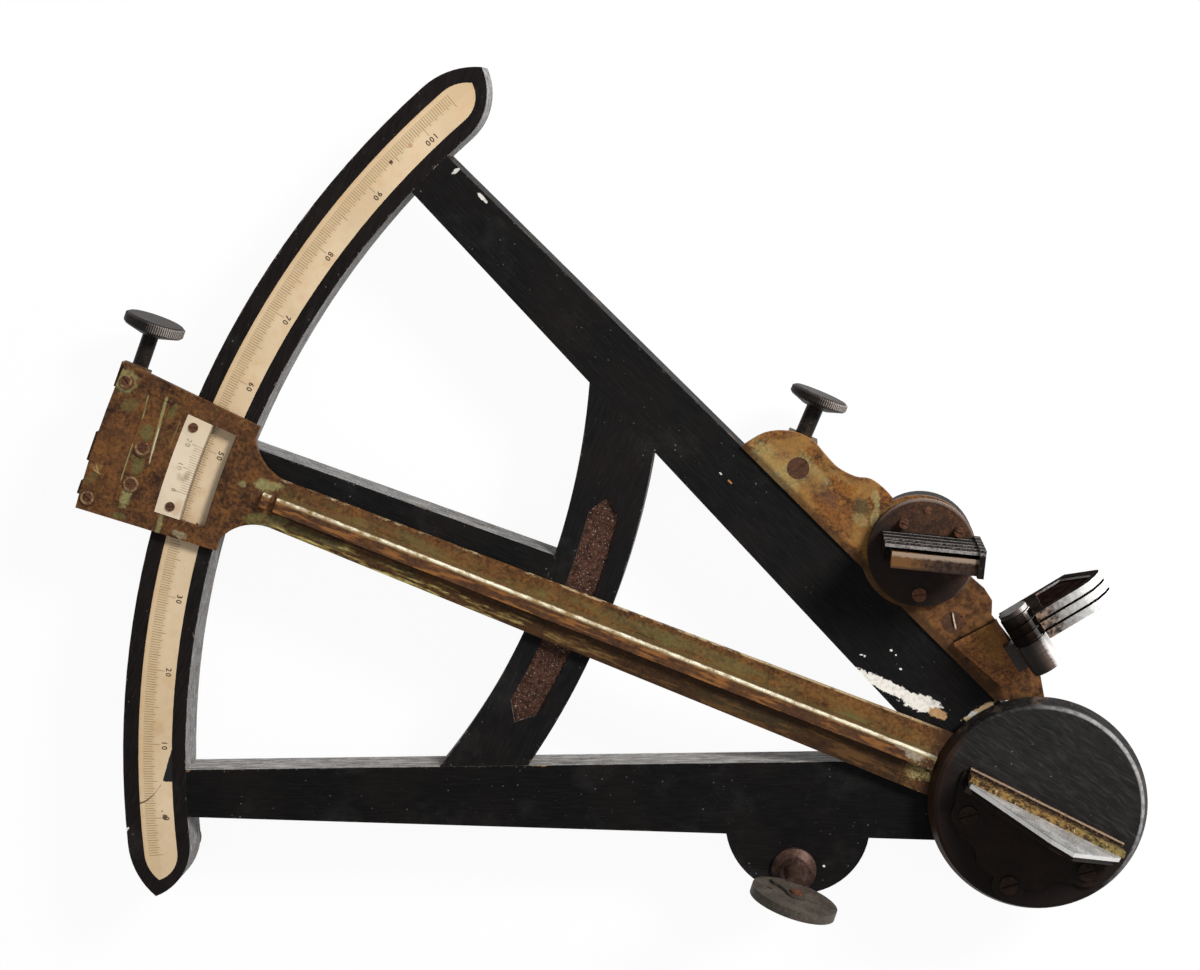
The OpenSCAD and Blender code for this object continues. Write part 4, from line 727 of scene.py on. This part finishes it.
screwLook = {"dark": (0.05, 0.024, 0.015), "mid": (0.125, 0.055, 0.03), "warm": (0.2, 0.082, 0.04),
             "green": (0.2, 0.18, 0.1), "greenness": 0.15, "bloom": 0.7, "mottle": 2.2, "metal": 0.3}
rimPlaces = [(279.4, -17.2, 1.7), (278.8, 18.0, 1.7), (268.5, -1.3, 1.9), (268.3, 9.7, 1.9)]
plainLook = {"dark": (0.045, 0.024, 0.012), "mid": (0.12, 0.065, 0.026), "warm": (0.22, 0.11, 0.035),
             "green": dullGreen, "greenness": 0.35, "bloom": 0.5}
armBrass = brassFinish("armBrass", armLook, arm)
screwBrass = brassFinish("screwBrass", screwLook)
plainBrass = brassFinish("plainBrass", plainLook)
finishes.update({
    "index_arm": armBrass,
    "slide_strip": armBrass,
    "horizon_plate": brassFinish("plateBrass", horizonLook),
    "shade_block": brassFinish("blockBrass", blockLook),
    "horizon_plate_screws": brassFinish("plateScrewBrass", dict(screwLook, extra=slotLine)),
    "turret_base": brassFinish("turretBrass", turretLook),
    "mirror_base": brassFinish("baseBrass", corrodedAndShadedLook, arm),
    "mirror_frame": brassFinish("seatBrass", dict(corrodedAndShadedLook, extra=mirrorSeat), mirrorTurn),
    "sight_stem": brassFinish("stemBrass", stemLook),
    "end_plate_screws": brassFinish("endScrewBrass", dict(screwLook, extra=wornRims(rimPlaces)), arm),
    "slide_strip_screws": brassFinish("stripScrewBrass", dict(screwLook, extra=wornRims(rimPlaces)), arm),
    "mirror_base_screws": brassFinish("baseScrewBrass", dict(corrodedAndShadedLook, mid=(0.04, 0.021, 0.013), mottle=2)),
})
print("brass ready")


# Grey metal: clouded, rubbed pale in places, with a little rust
def greyFinish(name, look, turn=0):
    f = Finish(name, turn)
    broad = f.noise(0.22, 4, 0.6)
    fine = f.noise(1.5, 5, 0.7, offset=(3, 7, 5))
    colour = f.blend(f.ramp(broad * 0.5 + fine * 0.5, 0.38, 0.62), look["dark"], look["light"])
    rust = f.noise(0.4, 4, 0.65, offset=(13, 7, 5))
    colour = f.blend(f.ramp(rust, 0.54, 0.68) * look.get("rusty", 0.4), colour, (0.1, 0.048, 0.025))
    rub = f.noise(0.7, 5, 0.7, offset=(33, 7, 5))
    colour = f.blend(f.ramp(rub, 0.6, 0.68) * look.get("rubbed", 0.4), colour, look["bare"])
    height = fine
    if "extra" in look:
        colour, height = look["extra"](f, colour, fine)
    return f.put(colour=colour, rough=look["rough"] + f.ramp(fine, 0.3, 0.7) * 0.18, metal=look["metal"],
                 specular=look.get("specular", 0.4), normal=f.bump(height, look.get("relief", 0.4), 0.1))


# Straight knurling round the wall of a milled head: a wave in the angle about the screw's axis, with painted shade
# in the grooves and a painted highlight on the ridges of the side towards the light
def knurled(axisX, axisZ, radius, teeth):
    def cut(f, colour, fine):
        dx = f.x - axisX
        dz = f.z - axisZ
        around = f.value("ARCTAN2", dz, dx)
        wave = f.value("SINE", around * teeth) * 0.5 + 0.5
        r = f.value("SQRT", dx * dx + dz * dz)
        rim = f.ramp(r, radius - 0.55, radius - 0.35)
        paintedHighlight = f.ramp(axisX - f.x + fine * 3, radius * 0.15, radius * 0.8) * f.ramp(dz + fine * 4, -1, 4)
        colour = f.blend(rim * paintedHighlight * (wave * 0.6 + 0.15), colour, (0.5, 0.43, 0.38))
        # Painted shade in the grooves
        colour = f.blend(rim * (1 - wave) * 0.8, colour, (0.006, 0.005, 0.005))
        rings = f.value("SINE", r * 9) * 0.5 + 0.5
        return colour, fine * 0.4 + wave * rim * 1.6 + rings * (1 - rim) * 0.15
    return cut


# The spring plate's worn top edge, and the tan skin over the mirror's box, with a painted highlight along its north
# edge
def boxSkin(f, colour, fine):
    along, across = turned(f.x - turretX, f.y - turretY, instrument["turretTurn"])
    box = f.ramp(across, -3.55, -3.5) * f.ramp(along, -13.45, -13.4) * f.ramp(along, 9.5, 9.45)
    skin = f.noise(0.5, 5, 0.65, offset=(3, 77, 5))
    tanSkin = f.blend(f.ramp(skin, 0.42, 0.58), (0.022, 0.014, 0.011), (0.05, 0.03, 0.021))
    tanSkin = f.blend(f.ramp(along + skin * 16, 6, 13) * 0.75, tanSkin, (0.16, 0.075, 0.026))
    # Painted highlight: a pale strip along the north edge of the box's top
    edge = f.ramp(across + f.ragged() * 1.6, -2.0, -2.7) * f.upward()
    tanSkin = f.blend(edge * 0.85, tanSkin, (0.3, 0.225, 0.165))
    under = f.ramp(across, 0.2, 0.6)
    tanSkin = f.blend(under * 0.6, tanSkin, (0.022, 0.017, 0.016))
    colour = f.blend(box * 0.95, colour, tanSkin)
    # Painted shade: the groove where the glass sits, as a near black slot
    slot = f.ramp(across, -4.65, -4.6) * f.ramp(across, -3.5, -3.55) * f.ramp(f.z, 54.2, 53.6)
    colour = f.blend(slot, colour, (0.004, 0.0035, 0.0035))
    # Pale lines along the back's edges, partly rubbed metal, partly painted highlight
    level = f.value("PINGPONG", f.z - 54.7, 2.5)
    lines = f.ramp(level + f.ragged() * 0.9, 0.4, 0.15) * f.ramp(across, -4.6, -4.65)
    colour = f.blend(lines * 0.6, colour, (0.34, 0.315, 0.3))
    spring = f.ramp(across, -4.5, -4.6) * f.upward()
    colour = f.blend(spring * f.ramp(fine, 0.48, 0.58) * 0.5, colour, (0.34, 0.3, 0.28))
    return colour, fine


# Shades: rubbed rims, tan towards the hinge, and a painted highlight turning them white towards the arched end
def shadeRims(f, colour, fine):
    out = (f.x - hingeX) * outX + (f.y - hingeY) * outY
    edge = f.ramp(f.sideways(outY, -outX), 0.5, 0.3) * f.ramp(out, 4.2, 4.6)
    far = f.ramp(out + fine * 8, 13, 26)
    near = f.ramp(out + fine * 5, 13, 7)
    rough = f.noise(0.8, 5, 0.7, offset=(3, 7, 45))
    colour = f.blend(edge, colour, f.blend(f.ramp(rough, 0.42, 0.6), (0.03, 0.024, 0.02), (0.21, 0.19, 0.175)))
    colour = f.blend(near * edge * f.ramp(rough, 0.45, 0.55) * 0.7, colour, (0.24, 0.12, 0.05))
    # Painted highlight: the rims white towards the arched end
    colour = f.blend(far * edge * 0.9, colour, (0.74, 0.73, 0.71))
    return barrelWear(f, colour, fine, f.ramp(out, 4.6, 4.2))


greyLook = {"dark": (0.032, 0.028, 0.026), "light": (0.085, 0.077, 0.071), "bare": (0.22, 0.205, 0.19),
            "metal": 0.55, "rough": 0.36}
knobLook = {"dark": (0.008, 0.0065, 0.0058), "light": (0.026, 0.02, 0.017), "bare": (0.1, 0.088, 0.08),
            "metal": 0.1, "rough": 0.4, "relief": 0.8, "rusty": 0.35, "rubbed": 0.3, "specular": 0.1}


# The barrels carry painted light: a painted highlight on the side away from the plate, towards the light, and
# painted shade, nearly black, below
def barrelWear(f, colour, fine, where=1):
    nx, ny, nz = f.facing()
    outward = nx * outX + ny * outY
    onBarrel = f.ramp(f.sideways(outY, -outX), 0.6, 0.4) * where
    bands = f.noise(0.7, 4, 0.65, at=f.join(f.lineDistance(hingeX, hingeY, 235), 0, 0), offset=(3, 3, 3))
    middle = f.ramp(outward + fine * 0.3, 0.0, 0.45)
    # Painted shade on the side away from the light
    colour = f.blend(onBarrel * (1 - middle) * 0.85, colour, (0.009, 0.007, 0.006))
    colour = f.blend(onBarrel * middle * f.ramp(bands, 0.42, 0.55) * 0.6, colour, (0.075, 0.04, 0.028))
    # Painted highlight on the side towards the light
    barrelHighlight = f.ramp(outward + fine * 0.25 + bands * 0.3, 0.72, 1.02)
    colour = f.blend(onBarrel * barrelHighlight * 0.9, colour, (0.66, 0.63, 0.6))
    return colour, fine


knuckleLook = {"dark": (0.014, 0.01, 0.009), "light": (0.046, 0.033, 0.028), "bare": (0.14, 0.12, 0.11),
               "metal": 0.3, "rough": 0.34, "rubbed": 0.4, "extra": barrelWear}
boxLook = {"dark": (0.005, 0.0045, 0.0045), "light": (0.014, 0.011, 0.01), "bare": (0.13, 0.12, 0.115),
           "metal": 0, "rough": 0.5, "rubbed": 0.25, "rusty": 0.15, "specular": 0.03, "extra": boxSkin}
shadeLook = {"dark": (0.007, 0.006, 0.006), "light": (0.021, 0.017, 0.015), "bare": (0.08, 0.072, 0.068),
             "metal": 0, "rough": 0.6, "rubbed": 0.3, "rusty": 0.2, "specular": 0.0, "extra": shadeRims}
sightLook = {"dark": (0.03, 0.025, 0.021), "light": (0.085, 0.071, 0.056), "bare": (0.17, 0.145, 0.12),
             "metal": 0.2, "rough": 0.45, "rusty": 0.3, "specular": 0.2}
greyMetal = greyFinish("greyMetal", greyLook)
finishes.update({
    "tangent_head": greyFinish("tangentKnob", dict(knobLook, extra=knurled(*instrument["tangent"], 84)), arm),
    "adjusting_head": greyFinish("adjusterKnob", dict(knobLook, extra=knurled(*instrument["adjuster"], 80))),
    "tangent_screw": greyFinish("tangentSteel", knobLook, arm),
    "adjusting_screw": greyFinish("adjusterSteel", knobLook),
    "horizon_frame": greyFinish("boxMetal", boxLook),
    "shade_bracket": greyFinish("knuckleMetal", knuckleLook),
    "sight_disc": greyFinish("sightMetal", sightLook),
    "sight_shutter": greyFinish("shutterMetal", dict(sightLook, light=(0.06, 0.05, 0.04), rusty=0.5)),
})
finishes["shade_pin"] = finishes["shade_bracket"]
shadeMetal = greyFinish("shadeMetal", shadeLook)
for name in ("shade_one", "shade_two", "shade_three"):
    finishes[name] = shadeMetal


# Old silvered glass: dull grey with dark spots where the silvering has gone, and pale ground edges
def mirrorGlass(name):
    f = Finish(name, mirrorTurn)
    foxing = f.noise(0.5, 5, 0.7, offset=(3, 7, 5))
    cloud = f.noise(0.12, 3, 0.5, offset=(13, 7, 5))
    colour = f.blend(f.ramp(cloud, 0.4, 0.6), (0.3, 0.29, 0.28), (0.5, 0.49, 0.48))
    colour = f.blend(f.ramp(foxing, 0.58, 0.68) * 0.5, colour, (0.1, 0.09, 0.08))
    ground = f.ramp(f.y, 0.6, 0.7) * f.upward()
    colour = f.blend(ground * 0.7, colour, (0.8, 0.79, 0.76))
    return f.put(colour=colour, rough=0.22 + f.ramp(foxing, 0.4, 0.6) * 0.25, metal=0.5)


# Smoked glass of the shades
def smokedGlass(name, tint):
    f = Finish(name)
    dust = f.noise(0.4, 5, 0.65, offset=(3, 7, 5))
    colour = f.blend(f.ramp(dust, 0.45, 0.7) * 0.35, tint, (0.05, 0.042, 0.036))
    return f.put(colour=colour, rough=0.3 + f.ramp(dust, 0.4, 0.7) * 0.2, specular=0.0)


finishes["mirror_glass"] = mirrorGlass("indexGlass")
finishes["horizon_glass"] = mirrorGlass("horizonGlass")
finishes["shade_one_glass"] = smokedGlass("redGlass", (0.009, 0.004, 0.0035))
finishes["shade_two_glass"] = smokedGlass("deepRedGlass", (0.014, 0.003, 0.003))
finishes["shade_three_glass"] = smokedGlass("greenGlass", (0.005, 0.011, 0.007))
print("metal and glass ready")

slotFinish = {"ebony": finishes["limb"], "black_disc": finishes["pivot_disc"], "ivory": finishes["ivory_scale"],
              "old_brass": plainBrass, "patinated_brass": armBrass, "brass_screws": screwBrass,
              "darkened_metal": greyMetal, "silvered_glass": finishes["mirror_glass"],
              "tinted_glass": finishes["shade_one_glass"]}
slots = {entry["node"]: entry["material_slot"] for entry in frame["record"]["subparts"]}
for name, part in frame["nodes"].items():
    part.data.materials.clear()
    part.data.materials.append(finishes.get(name, slotFinish[slots[name]]))
print("CAD pieces dressed")


# Figures: the text is laid flat, its top towards the pivot, and joined into one piece
def textPoints(words, height, spacing, weight):
    curve = bpy.data.curves.new("figure", "FONT")
    curve.body = words
    curve.size = height / 0.7  # a figure is about 0.7 of the type size
    curve.align_x = "CENTER"
    curve.align_y = "CENTER"
    curve.space_character = spacing
    curve.offset = weight
    curve.resolution_u = 3
    figure = bpy.data.objects.new("figure", curve)
    addToScene(figure)
    bpy.context.view_layer.update()
    flat = figure.evaluated_get(bpy.context.evaluated_depsgraph_get()).to_mesh()
    points = np.empty(len(flat.vertices) * 3)
    flat.vertices.foreach_get("co", points)
    faces = [tuple(face.vertices) for face in flat.polygons]
    bpy.data.objects.remove(figure)
    return points.reshape(-1, 3), faces


# Each label stands at its angle on the arc, its own up direction towards the pivot
def figurePiece(name, labels, look, body):
    allPoints = []
    allFaces = []
    count = 0
    for words, phi, r in labels:
        points, faces = textPoints(words, look["height"], look["spacing"], look["weight"])
        x, y = turned(r - points[:, 1], points[:, 0], -phi)
        z = np.full(len(points), look["top"] + 0.02)  # clear of the ivory
        allPoints.append(np.stack([x, y, z], 1) * mm)
        allFaces += [tuple(i + count for i in face) for face in faces]
        count += len(points)
    mesh = bpy.data.meshes.new(name)
    mesh.from_pydata(np.concatenate(allPoints).tolist(), [], allFaces)
    piece = bpy.data.objects.new(name, mesh)
    addToScene(piece)
    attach(piece, body)
    f = Finish(name + "Ink")
    faded = f.noise(0.9, 4, 0.65, offset=(3, 5, 7))
    colour = f.blend(f.ramp(faded, 0.4, 0.62) * look["faded"], look["ink"], look["ground"])
    mesh.materials.append(f.put(colour=colour, rough=0.55, specular=0.2))


scaleFigures = {"height": 1.55, "spacing": 1.3, "weight": 0.045, "top": face, "ink": (0.038, 0.02, 0.01),
                "ground": (0.3, 0.2, 0.11), "faded": 0.3}
vernierFigures = {"height": 1.5, "spacing": 1.2, "weight": 0.03, "top": armTop, "ink": (0.22, 0.18, 0.11),
                  "ground": (0.62, 0.54, 0.42), "faded": 0.8}
tens = [(str(r), (50 - r) / 2 + 0.03, 247.9) for r in range(0, 101, 10)]
figurePiece("scaleFigures", tens, scaleFigures, "frame")
figurePiece("vernierFigures", [("20", arm - 1.62, 257.0), ("10", arm - 0.04, 257.0)], vernierFigures, "index_arm")
figurePiece("vernierZero", [("0", arm + 1.55, 256.6)], dict(vernierFigures, height=1.2, ink=(0.1, 0.07, 0.035),
                                                             faded=0.2), "index_arm")
print("figures laid")


# Floor and light
def buildStage():
    size = 3.0
    mesh = bpy.data.meshes.new("floor")
    mesh.from_pydata([(-size, -size, 0), (size, -size, 0), (size, size, 0), (-size, size, 0)], [],
                     [(0, 1, 2, 3)])
    floor = bpy.data.objects.new("floor", mesh)
    addToScene(floor)
    f = Finish("floorWhite")
    f.put(colour=(0.9, 0.9, 0.9), rough=0.9)
    rays = f.tree.nodes.new("ShaderNodeLightPath")
    seen = 0
    for kind in ("Camera", "Glossy", "Transmission"):
        seen = f.value("MAXIMUM", seen, Wire(f, rays.outputs["Is " + kind + " Ray"]))
    glow = f.node("ShaderNodeEmission", {}, {"Color": (1, 1, 1, 1), "Strength": 1.0})
    mix = f.node("ShaderNodeMixShader", {}, {0: seen * 0.94, 1: Wire(f, f.shader.outputs[0]), 2: glow})
    f.tree.links.new(mix.socket, f.output.inputs[0])
    mesh.materials.append(f.material)


def areaLight(name, place, target, size, power):
    data = bpy.data.lights.new(name, "AREA")
    data.shape = "RECTANGLE"
    data.size, data.size_y = size
    data.energy = power
    lamp = bpy.data.objects.new(name, data)
    lamp.location = place
    direction = Vector(target) - Vector(place)
    lamp.rotation_euler = direction.to_track_quat("-Z", "Y").to_euler()
    addToScene(lamp)


# The light comes from the picture's upper right, low enough to catch the walls on that side
def buildLight():
    world = bpy.data.worlds.new("studio")
    bpy.context.scene.world = world
    world.use_nodes = True
    tree = world.node_tree
    background = tree.nodes["Background"]
    background.inputs[0].default_value = (1, 1, 1, 1)
    background.inputs[1].default_value = 0.3
    # The camera sees the sky past the floor as white
    white = tree.nodes.new("ShaderNodeBackground")
    white.inputs[0].default_value = (1, 1, 1, 1)
    rays = tree.nodes.new("ShaderNodeLightPath")
    mix = tree.nodes.new("ShaderNodeMixShader")
    tree.links.new(rays.outputs["Is Camera Ray"], mix.inputs[0])
    tree.links.new(background.outputs[0], mix.inputs[1])
    tree.links.new(white.outputs[0], mix.inputs[2])
    tree.links.new(mix.outputs[0], tree.nodes["World Output"].inputs[0])
    centre = Vector((0.12, 0, 0.02))
    side = imageRight * 0.75 + imageUp * 0.65
    side.z = 0
    side.normalize()
    areaLight("keyLight", centre + side * 0.95 + Vector((0, 0, 0.75)), centre, (0.32, 0.28), 18)
    areaLight("lowLight", centre + side * 1.3 + Vector((0, 0, 0.22)), centre, (1.2, 0.25), 9)
    areaLight("softLight", centre + Vector((0, 0, 1.6)), centre, (1.2, 1.2), 2.5)


buildStage()
buildLight()
bpy.context.scene.view_settings.view_transform = "Standard"
